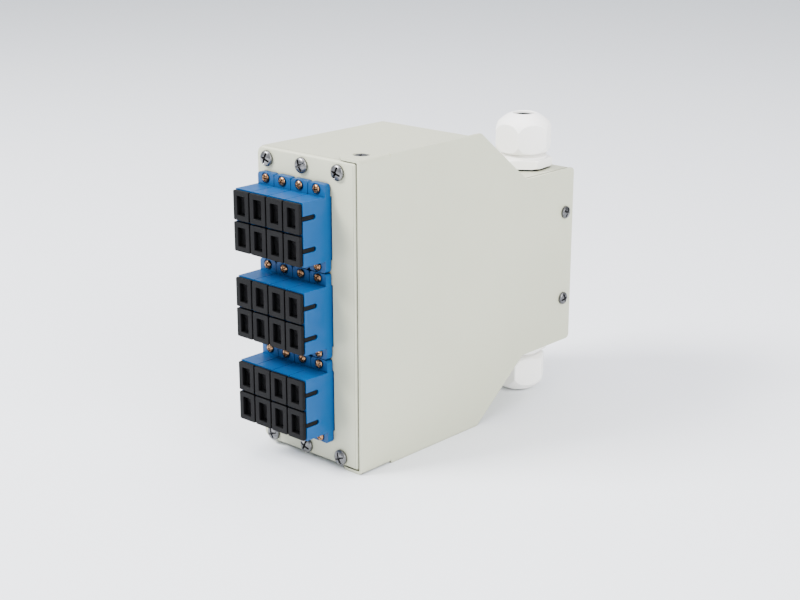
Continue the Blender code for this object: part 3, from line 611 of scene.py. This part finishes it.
TRAY = moulded(
    "tray_plastic", rgba(0.70, 0.70, 0.68), rough=0.45, edge_tone=1.05, spread=0.02, grain=0.1, glow=0.05,
)
CLEAR = clear_plastic("lid_clear")


# ---- placing pieces ------------------------------------------------------------------------

def put(name, mesh, material, body, replaces=(), location=(0.0, 0.0, 0.0), rotation=None):
    """Link a piece, standing for the named CAD nodes, and let it ride on its body."""
    item = bpy.data.objects.new(name, mesh)
    bpy.context.scene.collection.objects.link(item)
    item.location = ORIGIN + Vector(location)
    if rotation:
        item.rotation_euler = rotation
    mesh.materials.clear()
    mesh.materials.append(material)
    bpy.context.view_layer.update()
    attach(item, body)
    if replaces:
        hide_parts(*replaces)


# ---- the case ------------------------------------------------------------------------------

def folded(distances, radii, left_x, right_x, bend):
    """The case's side view run along X, with a folded round edge where it meets the left wall."""
    steps = 7
    corner_senses = (0, -1, 1, -1, -1, 1, -1, 0)  # square, outward or hollow corner
    rings = []
    for step in range(steps + 2):
        angle = math.radians(min(90.0, 90.0 * step / steps))
        inset = bend * (1.0 - math.sin(angle))
        x = right_x if step > steps else left_x + bend * (1.0 - math.cos(angle))
        moved = [distance + inset for distance in distances]
        moved[FRONT] = distances[FRONT]
        now = []
        for radius, sense in zip(radii, corner_senses):
            now.append(max(radius + sense * inset, 0.02 * MM) * abs(sense))
        outline = rounded(inset_outline(side_outline(), moved), now)
        rings.append([(x, y, z) for y, z in outline])
    return lofted(rings)


def shell_mesh():
    """The folded case: left wall, a wall all round but the front, screw ears and spot marks."""
    edges = [EDGE_LIP] * 8
    edges[NECK_FLOOR] = 0.0
    edges[REAR] = REAR_LIP
    edges[NECK_ROOF] = 0.0
    edges[FRONT] = SHELL_FRONT_Y - COVER_FRONT_Y
    deeper = [distance + SHELL_SHEET for distance in edges]
    deeper[FRONT] = -10 * MM
    tight = BEND_RADIUS - SHELL_SHEET
    outer_radii = [0, BEND_RADIUS, tight, BEND_RADIUS, BEND_RADIUS, tight, BEND_RADIUS, 0]
    inner_radii = [0, tight, BEND_RADIUS, tight, tight, BEND_RADIUS, tight, 0]
    inside_left = SHELL_LEFT_X + SHELL_SHEET
    case = folded(edges, outer_radii, SHELL_LEFT_X, SHELL_RIGHT_X - SEAM, SIDE_BEND)
    hollow = folded(deeper, inner_radii, inside_left, SHELL_RIGHT_X + 5 * MM, SIDE_BEND - SHELL_SHEET)
    steps = [("DIFFERENCE", hollow)]

    rear_inside = CASE_DEPTH - REAR_LIP - SHELL_SHEET
    for z in REAR_SCREW_ZS:
        ear_x = (SHELL_RIGHT_X - SHELL_SHEET, SHELL_RIGHT_X)
        ear_y = (REAR_SCREW_Y - EAR_DEPTH, rear_inside + 0.5 * SHELL_SHEET)
        steps.append(("UNION", block(ear_x, ear_y, (z - EAR_HALF_HEIGHT, z + EAR_HALF_HEIGHT))))
        steps.append(("DIFFERENCE", cylinder("X", REAR_SCREW_Y, z, COVER_HOLE_R, 20 * MM, 30 * MM)))
    for z in (NECK_INSET, CASE_HEIGHT - NECK_INSET):
        hole = cylinder("Z", GLAND_X, GLAND_Y, GLAND_THREAD_R + GAP, z - 3 * MM, z + 3 * MM, 48)
        steps.append(("DIFFERENCE", hole))
    for low, high in ((0.0, 5 * MM), (CASE_HEIGHT - 5 * MM, CASE_HEIGHT)):
        steps.append(("DIFFERENCE", cylinder("Z", *TAB_SCREW, COVER_HOLE_R, low, high)))
    top = CASE_HEIGHT - EDGE_LIP
    for x, y in WELD_MARKS:
        dimple = cylinder("Z", x, y, 1.3 * MM, top - 0.2 * MM, top + 0.1 * MM, 32, 2.4 * MM)
        steps.append(("DIFFERENCE", dimple))
    return finished(combined(case, steps), "body_shell", 0.14 * MM)


def lip_mesh(low_z, high_z):
    """A screw lip behind the adapter plate's upper or lower edge."""
    inside = SHELL_LEFT_X + SHELL_SHEET
    lip = block((inside, SHELL_RIGHT_X), (SHELL_FRONT_Y, SHELL_FRONT_Y + SHELL_SHEET), (low_z, high_z))
    return finished(lip, "panel_lip", 0.1 * MM)


def tab_profile(outer_z, side):
    """The bent tab in (x, z) with the top of the cover's plate; side is 1 on top, -1 below."""
    outer_r = 1.8 * MM
    inner_r = outer_r - COVER_SHEET
    bend_x = COVER_X - outer_r
    bend_z = outer_z - side * outer_r
    leg_z = outer_z - side * TAB_LEG
    outside = [(TAB_INNER_X, outer_z)] + arc(bend_x, bend_z, outer_r, side * 90, 0) + [(COVER_X, leg_z)]
    inside = [(COVER_X - COVER_SHEET, leg_z)] + arc(bend_x, bend_z, inner_r, 0, side * 90)
    return outside + inside + [(TAB_INNER_X, outer_z - side * COVER_SHEET)]


def cover_mesh():
    """The side cover: one flat sheet with a tab folded over the top wall and one under the bottom."""
    inner_x = COVER_X - COVER_SHEET
    corners = [0.8 * MM, 1.5 * MM, 0.8 * MM, 2 * MM, 2 * MM, 0.8 * MM, 1.5 * MM, 0.8 * MM]
    plate = prism(rounded(side_outline(), corners), "X", inner_x, COVER_X)
    tab_end = COVER_FRONT_Y + TAB_DEPTH
    steps = []
    for outer_z, side in ((0.0, -1), (CASE_HEIGHT, 1)):
        z_range = sorted((outer_z - side * (TAB_LEG - 0.1 * MM), outer_z + side * MM))
        room = block((inner_x - MM, COVER_X + MM), (COVER_FRONT_Y - MM, tab_end), z_range)
        steps.append(("DIFFERENCE", room))
        tab = prism(tab_profile(outer_z, side), "Y", COVER_FRONT_Y, tab_end)
        outline = rectangle(TAB_INNER_X, COVER_X + MM, COVER_FRONT_Y, tab_end)
        outline = rounded(outline, [TAB_CORNER, 0, 0, TAB_CORNER], 10)
        trim = prism(outline, "Z", min(z_range) - 4 * MM, max(z_range) + 4 * MM)
        steps.append(("UNION", combined(tab, [("INTERSECT", trim)])))
        sink_z = (outer_z + side * 0.1 * MM, outer_z - side * (COVER_SHEET + 0.1 * MM))
        steps.append(("DIFFERENCE", cylinder("Z", *TAB_SCREW, 3.5 * MM, *sink_z, 40, 2.9 * MM)))
    for z in REAR_SCREW_ZS:
        steps.append(("DIFFERENCE", cylinder("X", REAR_SCREW_Y, z, COVER_HOLE_R, 20 * MM, 35 * MM)))
    return finished(combined(plate, steps), "side_cover", 0.42 * MM, 4)


def panel_mesh(rows, middle_x):
    """The adapter plate: three windows, six screw holes and a rounded front edge."""
    outer = rectangle(SHELL_LEFT_X, SHELL_RIGHT_X - SEAM, EDGE_LIP, CASE_HEIGHT - EDGE_LIP)
    outline = rounded(outer, [3.4 * MM, 1 * MM, 1 * MM, 3.4 * MM], 8)
    plate = prism(outline, "Y", 0.0, PANEL_SHEET)
    round_rim(plate, lambda corner: corner.y < 1e-6, 1.1 * MM, 6)
    half_width = 1.5 * ADAPTER_PITCH_X + ADAPTER_HALF + GAP
    half_height = ADAPTER_REAR_HEIGHT / 2 + GAP
    steps = []
    for z in rows:
        x_range = (middle_x - half_width, middle_x + half_width + 0.2 * MM)
        z_range = (z - half_height, z + half_height)
        steps.append(("DIFFERENCE", block(x_range, (-5 * MM, 5 * MM), z_range)))
    for x in PANEL_SCREW_XS:
        for z in PANEL_SCREW_ZS:
            steps.append(("DIFFERENCE", cylinder("Y", x, z, PANEL_HOLE_R, -5 * MM, 5 * MM)))
    return finished(combined(plate, steps), "front_panel", 0.15 * MM)


def build_case(rows, middle_x):
    """The shell with its two screw lips, the side cover and the adapter plate."""
    put("shell_visual", shell_mesh(), PAINT, "case", ["body_shell"])
    low = EDGE_LIP + SHELL_SHEET
    high = CASE_HEIGHT - low
    put("lip_lower", lip_mesh(low - LIP_OVERLAP, low + LIP_HEIGHT), PAINT, "case")
    put("lip_upper", lip_mesh(high - LIP_HEIGHT, high + LIP_OVERLAP), PAINT, "case")
    put("cover_visual", cover_mesh(), PAINT, "case", ["side_cover"])
    put("panel_visual", panel_mesh(rows, middle_x), PAINT, "case", ["front_panel"])


# ---- adapters and dust caps ----------------------------------------------------------------

def adapter_mesh():
    """A duplex adapter about its own centre: body, flange, ports, sockets and keyways."""
    body_z = ADAPTER_BODY_HEIGHT / 2
    rear_z = ADAPTER_REAR_HEIGHT / 2
    flange_z = FLANGE_HEIGHT / 2
    half = ADAPTER_HALF
    flange = rounded(rectangle(-half, half, -flange_z, flange_z), 1.3 * MM, 5)
    rear = prism(rectangle(-half, half, -rear_z, rear_z), "Y", -GAP - 0.5 * MM, ADAPTER_REAR_Y)
    steps = [("UNION", rear), ("UNION", prism(flange, "Y", FLANGE_FRONT_Y, -GAP))]
    for side in (-1, 1):
        screw_z = side * FLANGE_SCREW_Z
        sink = cylinder("Y", 0.0, screw_z, 2.3 * MM, FLANGE_FRONT_Y - MM, FLANGE_FRONT_Y + 0.3 * MM)
        hole = cylinder("Y", 0.0, screw_z, 1.1 * MM, FLANGE_FRONT_Y - MM, MM)
        steps += [("DIFFERENCE", sink), ("DIFFERENCE", hole)]
    wide = PORT_WIDTH / 2
    high = PORT_HEIGHT / 2
    slot_z = 1.0 * MM
    for middle in (-PORT_PITCH_Z / 2, PORT_PITCH_Z / 2):
        port = rounded(rectangle(-wide, wide, middle - high, middle + high), 0.5 * MM, 3)
        steps.append(("DIFFERENCE", prism(port, "Y", ADAPTER_FRONT_Y - MM, -1.8 * MM)))
        steps.append(("DIFFERENCE", prism(port, "Y", -0.3 * MM, ADAPTER_REAR_Y + MM)))
        slot = rectangle(ADAPTER_FRONT_Y - MM, KEYWAY_END_Y, middle - slot_z, middle + slot_z)
        slot = rounded(slot, [0, slot_z * 0.99, slot_z * 0.99, 0], 6)
        steps.append(("DIFFERENCE", prism(slot, "X", wide - MM, half + MM)))
        tube = cylinder("Y", 0.0, middle, 2.3 * MM, SOCKET_FRONT_Y, -1.2 * MM, 24)
        bore = cylinder("Y", 0.0, middle, 1.26 * MM, -12 * MM, 3 * MM, 24)
        steps += [("UNION", tube), ("DIFFERENCE", bore)]
    body = prism(rectangle(-half, half, -body_z, body_z), "Y", ADAPTER_FRONT_Y, -GAP)
    return finished(combined(body, steps), "duplex_adapter", 0.22 * MM, 3)


def cap_mesh():
    """A dust cap about its port's centre: softly edged plate, tapered deep recess, plug and key."""
    front = -16.4 * MM
    back = ADAPTER_FRONT_Y - GAP
    outline = rounded(rectangle(-4.3 * MM, 4.3 * MM, -5.85 * MM, 5.85 * MM), 0.45 * MM, 4)
    plate = prism(outline, "Y", front, back)
    plug_x = PORT_WIDTH / 2 - GAP
    plug_z = PORT_HEIGHT / 2 - GAP
    plug = rounded(rectangle(-plug_x, plug_x, -plug_z, plug_z), 0.5 * MM, 3)
    recess = rounded(rectangle(-2.15 * MM, 2.15 * MM, -3.8 * MM, 3.8 * MM), 0.3 * MM, 3)
    key_z = 0.9 * MM
    key_y = (back - 0.5 * MM, KEYWAY_END_Y - 0.7 * MM)
    steps = [
        ("UNION", prism(plug, "Y", back - 0.5 * MM, -8.5 * MM)),
        ("UNION", block((plug_x - MM, 4.25 * MM), key_y, (-key_z, key_z))),
        ("DIFFERENCE", prism(recess, "Y", front - 0.001 * MM, -9.6 * MM, 0.82)),
    ]
    return finished(combined(plate, steps), "dust_cap", 0.2 * MM, 3)


def cross_recess(size, depth, top):
    """The tapered cross that a cross-head driver fits, as a cutter about Z below a head's top."""
    arm = 0.17 * size
    points = []
    for turn in range(4):
        for a, b in ((size, -arm), (size, arm), (arm, arm)):
            spot = Matrix.Rotation(turn * math.pi / 2, 2) @ Vector((a, b))
            points.append(tuple(spot))
    return prism(points, "Z", top + 0.2 * MM, top - depth, 0.5)


def pan_head_mesh(name, head_r, head_height, shank_r, length, turn):
    """A pan-head cross screw about Z: the head's underside is at zero, the shank points down."""
    angles = [math.radians(step * 90 / 8) for step in range(9)]
    dome = [(head_r * math.sin(a), head_height * (0.4 + 0.6 * math.cos(a))) for a in angles]
    profile = dome + [(head_r, 0.08 * head_height), (head_r * 0.97, 0.0), (shank_r, 0.0)]
    profile += [(shank_r, -length), (0.0, -length)]
    cross = cross_recess(0.95 * head_r, 0.85 * head_height, head_height)
    bmesh.ops.rotate(cross, cent=(0, 0, 0), matrix=Matrix.Rotation(turn, 3, "Z"), verts=cross.verts)
    return finished(combined(turned(profile, 40), [("DIFFERENCE", cross)]), name, 0.05 * MM, 2)


def flat_head_mesh():
    """A countersunk cross screw about Z: the middle of its raised top is at zero."""
    head_r = 3.05 * MM
    shank_r = 1.35 * MM
    rise = 0.4 * MM
    angles = [math.radians(step * 90 / 6) for step in range(7)]
    dome = [(head_r * math.sin(a), rise * (math.cos(a) - 1.0)) for a in angles]
    profile = dome + [(head_r, -0.55 * MM), (shank_r, -1.6 * MM)]
    profile += [(shank_r, -7 * MM), (0.0, -7 * MM)]
    cross = cross_recess(2.5 * MM, 1.3 * MM, 0.0)
    return finished(combined(turned(profile, 40), [("DIFFERENCE", cross)]), "flat_screw", 0.05 * MM, 2)


def middle_of(node):
    """The middle of a CAD node, from the working origin."""
    low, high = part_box(node)
    return (Vector(low) + Vector(high)) / 2 - ORIGIN


def build_adapters():
    """Twelve adapters with two small screws each, and a cap in every port."""
    adapter = adapter_mesh()
    cap = cap_mesh()
    heads = []
    for index in range(3):
        name = f"flange_screw_{index}"
        heads.append(pan_head_mesh(name, 1.7 * MM, 1.15 * MM, 0.9 * MM, 2 * MM, index * 0.5))
    count = 0
    for row in range(1, 4):
        for column in range(1, 5):
            name = f"adapter_{row}{column}"
            middle = middle_of(name)
            spot = (middle.x, 0.0, middle.z)
            put(f"{name}_visual", adapter, BLUE, "case", [name], spot)
            for end, side in (("upper", 1), ("lower", -1)):
                head = heads[count % 3]
                spot = (middle.x, FLANGE_FRONT_Y + 0.28 * MM, middle.z + side * FLANGE_SCREW_Z)
                put(f"{name}_screw_{end}", head, BRASS, "case", (), spot, FACING_FRONT)
                count += 1
                node = f"dust_cap_{row}{column}_{end}"
                body = f"cap_{row}{column}_{end}"
                spot = (middle.x, 0.0, middle.z + side * PORT_PITCH_Z / 2)
                put(f"{node}_visual", cap, BLACK, body, [node], spot)


# ---- screws --------------------------------------------------------------------------------

def build_screws():
    """Six panel screws, two cover screws at the rear and one sunk in each cover tab."""
    count = 0
    for row in ("bottom", "top"):
        for column in ("left", "middle", "right"):
            node = f"panel_screw_{row}_{column}"
            middle = middle_of(node)
            mesh = pan_head_mesh(node, 3.1 * MM, 1.9 * MM, 1.5 * MM, 5 * MM, 0.35 + 0.8 * count)
            spot = (middle.x, -HEAD_GAP, middle.z)
            put(f"{node}_visual", mesh, STEEL, "case", [node], spot, FACING_FRONT)
            count += 1
    for row in ("lower", "upper"):
        node = f"cover_screw_rear_{row}"
        middle = middle_of(node)
        mesh = pan_head_mesh(node, 2.7 * MM, 1.6 * MM, 1.35 * MM, 5 * MM, 0.2 + 0.8 * count)
        spot = (COVER_X + HEAD_GAP, middle.y, middle.z)
        put(f"{node}_visual", mesh, DARK_STEEL, "case", [node], spot, FACING_COVER)
        count += 1
    flat = flat_head_mesh()
    for row, z, turn in (("top", CASE_HEIGHT - HEAD_GAP, 0.0), ("bottom", HEAD_GAP, math.pi)):
        node = f"cover_screw_{row}"
        spot = (*TAB_SCREW, z)
        put(f"{node}_visual", flat, DARK_STEEL, "case", [node], spot, (turn, 0, 0.5))


# ---- cable glands --------------------------------------------------------------------------

def hexagon(radius, turn):
    """A hexagon's corners, turned about its middle."""
    angles = [turn + step * math.pi / 3 for step in range(6)]
    return [(radius * math.cos(angle), radius * math.sin(angle)) for angle in angles]


def gland_body_mesh():
    """Threaded body with a hexagonal flange, its thread cut as grooves, and a bore through.

    Its heights, like those of the nut and the seal, are counted from the wall's inner face.
    """
    edge = 1.0 * MM
    bottom = SHELL_SHEET + WASHER_SHEET
    top = 5.7 * MM
    crest = GLAND_THREAD_R - 0.5 * MM
    root = GLAND_THREAD_R - 1.1 * MM
    profile = [
        (GLAND_BORE_R, -9 * MM),
        (crest, -9 * MM),
        (GLAND_THREAD_R, -8.5 * MM),
        (GLAND_THREAD_R, bottom),
        (GLAND_CORNER - edge, bottom),
        (GLAND_CORNER, bottom + 0.6 * edge),
        (GLAND_CORNER, top - 0.6 * edge),
        (GLAND_CORNER - edge, top),
        (GLAND_THREAD_R + 0.9 * MM, top),
        (GLAND_THREAD_R + 0.9 * MM, top + 1.0 * MM),
        (GLAND_THREAD_R - 0.2 * MM, top + 1.2 * MM),
    ]
    for turn in range(5):
        z = top + THREAD_PITCH + turn * THREAD_PITCH
        profile += [(crest, z), (root, z + 0.6 * MM), (root, z + 0.8 * MM), (crest, z + 1.4 * MM)]
    profile += [(GLAND_THREAD_R - 0.9 * MM, 16 * MM), (GLAND_BORE_R, 16 * MM)]
    flats = prism(rounded(hexagon(GLAND_CORNER, FLANGE_TURN), 0.7 * MM, 4), "Z", -20 * MM, 30 * MM)
    return finished(combined(turned(profile, 72), [("INTERSECT", flats)]), "gland_body", 0.15 * MM)


def gland_nut_mesh():
    """Dome nut: six flats with softened corners, a domed crown and the cable hole."""
    bottom = 8.0 * MM
    top = 24.7 * MM
    shoulder = 16.6 * MM
    crown_r = 5.2 * MM
    dome = []
    for step in range(11):
        angle = math.radians(90 * step / 10)
        radius = crown_r + (GLAND_CORNER - crown_r) * abs(math.cos(angle)) ** 1.6
        dome.append((radius, shoulder + (top - shoulder) * math.sin(angle)))
    profile = [(GLAND_THREAD_R - GAP, bottom), (GLAND_CORNER - 2.6 * MM, bottom)]
    profile += [(GLAND_CORNER - 1.1 * MM, bottom + 1.0 * MM), (GLAND_CORNER, bottom + 3.4 * MM)]
    profile += dome
    profile += [
        (5.0 * MM, top),
        (4.7 * MM, top - 0.4 * MM),
        (4.7 * MM, 22.6 * MM),
        (GLAND_BORE_R + 0.4 * MM, 21.4 * MM),
        (GLAND_THREAD_R - GAP, 18.8 * MM),
    ]
    flats = prism(rounded(hexagon(GLAND_CORNER, NUT_TURN), 0.8 * MM, 4), "Z", 0.0, 30 * MM)
    return finished(combined(turned(profile, 96), [("INTERSECT", flats)]), "gland_nut", 0.18 * MM, 2, 24)


def gland_seal_mesh():
    """Rubber sleeve that the nut squeezes round the cable, with a thin lip up in the nut's hole."""
    profile = [(3.6 * MM, 10 * MM), (6.0 * MM, 10 * MM), (6.0 * MM, 19 * MM), (5.4 * MM, 21 * MM)]
    profile += [(4.4 * MM, 21.6 * MM), (4.3 * MM, 23.6 * MM), (3.2 * MM, 23.9 * MM), (3.2 * MM, 12 * MM)]
    return finished(turned(profile, 64), "gland_seal", 0.2 * MM)


def gland_washer_mesh():
    """The rubber washer between the wall and the gland's flange."""
    low = SHELL_SHEET
    high = SHELL_SHEET + WASHER_SHEET
    profile = [(GLAND_THREAD_R, low), (10.4 * MM, low), (10.4 * MM, high), (GLAND_THREAD_R, high)]
    return finished(turned(profile, 64), "gland_washer", 0.25 * MM, 3)


def gland_locknut_mesh():
    """The flat hexagon nut that holds the gland from inside the wall."""
    body = prism(hexagon(GLAND_CORNER * 0.99, 0.3), "Z", -4.3 * MM, -0.3 * MM)
    hole = cylinder("Z", 0, 0, GLAND_THREAD_R + 0.05 * MM, -8 * MM, MM, 48)
    return finished(combined(body, [("DIFFERENCE", hole)]), "gland_locknut", 0.3 * MM)


def build_glands():
    """One gland points up from the neck's top wall, one hangs from its bottom wall."""
    body = gland_body_mesh()
    nut = gland_nut_mesh()
    seal = gland_seal_mesh()
    washer = gland_washer_mesh()
    locknut = gland_locknut_mesh()
    inner_face = NECK_INSET + SHELL_SHEET
    walls = (("top", CASE_HEIGHT - inner_face, 0.0), ("bottom", inner_face, math.pi))
    for side, z, flip in walls:
        spot = (GLAND_X, GLAND_Y, z)
        turn = (flip, 0.0, 0.0)
        name = f"gland_{side}"
        for part, mesh, material, carrier, slot in (
            ("body", body, NYLON, "case", "white_nylon"),
            ("nut", nut, NYLON, f"nut_{side}", "white_nylon"),
            ("seal", seal, RUBBER, f"seal_{side}", "seal_rubber"),
        ):
            node = f"{name}_{part}"
            put(f"{node}_visual", mesh, material, carrier, [node], spot, turn)
        put(f"{name}_washer", washer, RUBBER, "case", (), spot, turn)
        put(f"{name}_locknut", locknut, NYLON, "case", (), spot, turn)


# ---- pieces that keep their CAD shape ------------------------------------------------------

def soften(node, material, edge, segments=2):
    """Give a CAD node its finish and round its edges."""
    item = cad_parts[node]
    for slot in item.material_slots:
        slot.material = material
    planar = item.modifiers.new("flat faces", "DECIMATE")
    planar.decimate_type = "DISSOLVE"
    planar.angle_limit = math.radians(2)
    bevel = item.modifiers.new("edges", "BEVEL")
    bevel.width = edge
    bevel.segments = segments
    bevel.limit_method = "ANGLE"
    bevel.angle_limit = math.radians(35)


def coil_mesh(low, high):
    """A round-wire coil that fills a box from end to end along Z."""
    middle = (low + high) / 2
    wire = 0.2 * MM
    radius = (high.x - low.x) / 2 - wire
    turns, steps, sides = 7, 24, 8
    bottom = low.z + wire
    rise = high.z - low.z - 2 * wire
    upward = Vector((0, 0, 1))
    around = [2 * math.pi * side / sides for side in range(sides)]
    bm = bmesh.new()
    rings = []
    for step in range(turns * steps + 1):
        angle = 2 * math.pi * step / steps
        outward = Vector((math.cos(angle), math.sin(angle), 0.0))
        height = bottom + rise * step / (turns * steps)
        spine = Vector((middle.x, middle.y, height)) + outward * radius
        ring = [spine + (outward * math.cos(a) + upward * math.sin(a)) * wire for a in around]
        rings.append([bm.verts.new(spot) for spot in ring])
    bm.faces.new(rings[0])
    bm.faces.new(rings[-1])
    for here, there in zip(rings, rings[1:]):
        for side in range(sides):
            after = (side + 1) % sides
            bm.faces.new((here[side], here[after], there[after], there[side]))
    mesh = to_mesh(bm, "latch_spring_coil")
    mesh.shade_smooth()
    return mesh


def build_spring():
    """The latch's spring, its upper end on the bracket and its lower end on the latch."""
    low, high = (Vector(corner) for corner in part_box("latch_spring"))
    item = bpy.data.objects.new("latch_spring_visual", coil_mesh(low, high))
    item.data.materials.append(SPRING)
    bpy.context.scene.collection.objects.link(item)
    bpy.context.view_layer.update()
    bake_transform(item)
    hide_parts("latch_spring")


def build_clip_and_tray():
    """The rail clip, its spring, the splice tray and the tray's lid."""
    soften("rail_bracket", ZINC, 0.35 * MM, 3)
    soften("rail_latch", LATCH, 0.25 * MM, 3)
    soften("splice_tray", TRAY, 0.2 * MM)
    soften("tray_lid", CLEAR, 0.15 * MM)
    build_spring()


# ---- floor, light and camera ---------------------------------------------------------------

def stage_material(name, colour, rough):
    """A plain material for the floor, which isn't part of the object."""
    nodes = Nodes(name)
    nodes.shader.inputs["Base Color"].default_value = colour
    nodes.shader.inputs["Roughness"].default_value = rough
    return nodes.material


def add_light(name, place_at, target, size, power, colour=(1.0, 1.0, 1.0)):
    """A rectangular lamp that faces its target."""
    data = bpy.data.lights.new(name, "AREA")
    data.shape = "RECTANGLE"
    data.size, data.size_y = size
    data.energy = power
    data.color = colour
    lamp = bpy.data.objects.new(name, data)
    bpy.context.scene.collection.objects.link(lamp)
    lamp.location = place_at
    lamp.rotation_euler = (Vector(target) - Vector(place_at)).to_track_quat("-Z", "Y").to_euler()


def build_stage():
    """A wide pale floor, soft lamps and the camera, placed as a fit to the photo gave it."""
    floor = prism(rectangle(-6.0, 6.0, -6.0, 6.0), "Z", cad_box[0][2] - 0.02, cad_box[0][2] - 0.05 * MM)
    item = bpy.data.objects.new("floor", to_mesh(floor, "floor"))
    item.data.materials.append(stage_material("floor", rgba(0.80, 0.82, 0.84), 0.6))
    bpy.context.scene.collection.objects.link(item)

    world = bpy.data.worlds.new("studio")
    world.use_nodes = True
    background = world.node_tree.nodes["Background"]
    background.inputs["Color"].default_value = rgba(0.9, 0.94, 1.0)
    background.inputs["Strength"].default_value = 1.2
    bpy.context.scene.world = world

    target = ORIGIN + Vector((0.0, 0.06, 0.06))
    add_light("key", target + Vector((-0.62, -0.9, 1.0)), target, (0.6, 0.5), 54.0)
    add_light("side", target + Vector((1.1, -0.15, 0.55)), target, (0.9, 0.9), 25.0)
    add_light("above", target + Vector((0.0, 0.1, 1.2)), target, (1.0, 1.0), 17.0, (1.0, 0.95, 1.05))

    data = bpy.data.cameras.new("camera")
    data.lens = 68.0
    data.sensor_width = 36.0
    camera = bpy.data.objects.new("camera", data)
    camera.location = ORIGIN + Vector((0.40386, -0.39024, 0.23999))
    camera.rotation_euler = (math.radians(72.75), 0.0, math.radians(42.35))
    bpy.context.scene.collection.objects.link(camera)
    bpy.context.scene.camera = camera


rows = [middle_of(f"adapter_{row}1").z for row in (1, 2, 3)]
middle_x = (middle_of("adapter_11").x + middle_of("adapter_14").x) / 2
build_case(rows, middle_x)
build_adapters()
build_screws()
build_glands()
build_clip_and_tray()
build_stage()
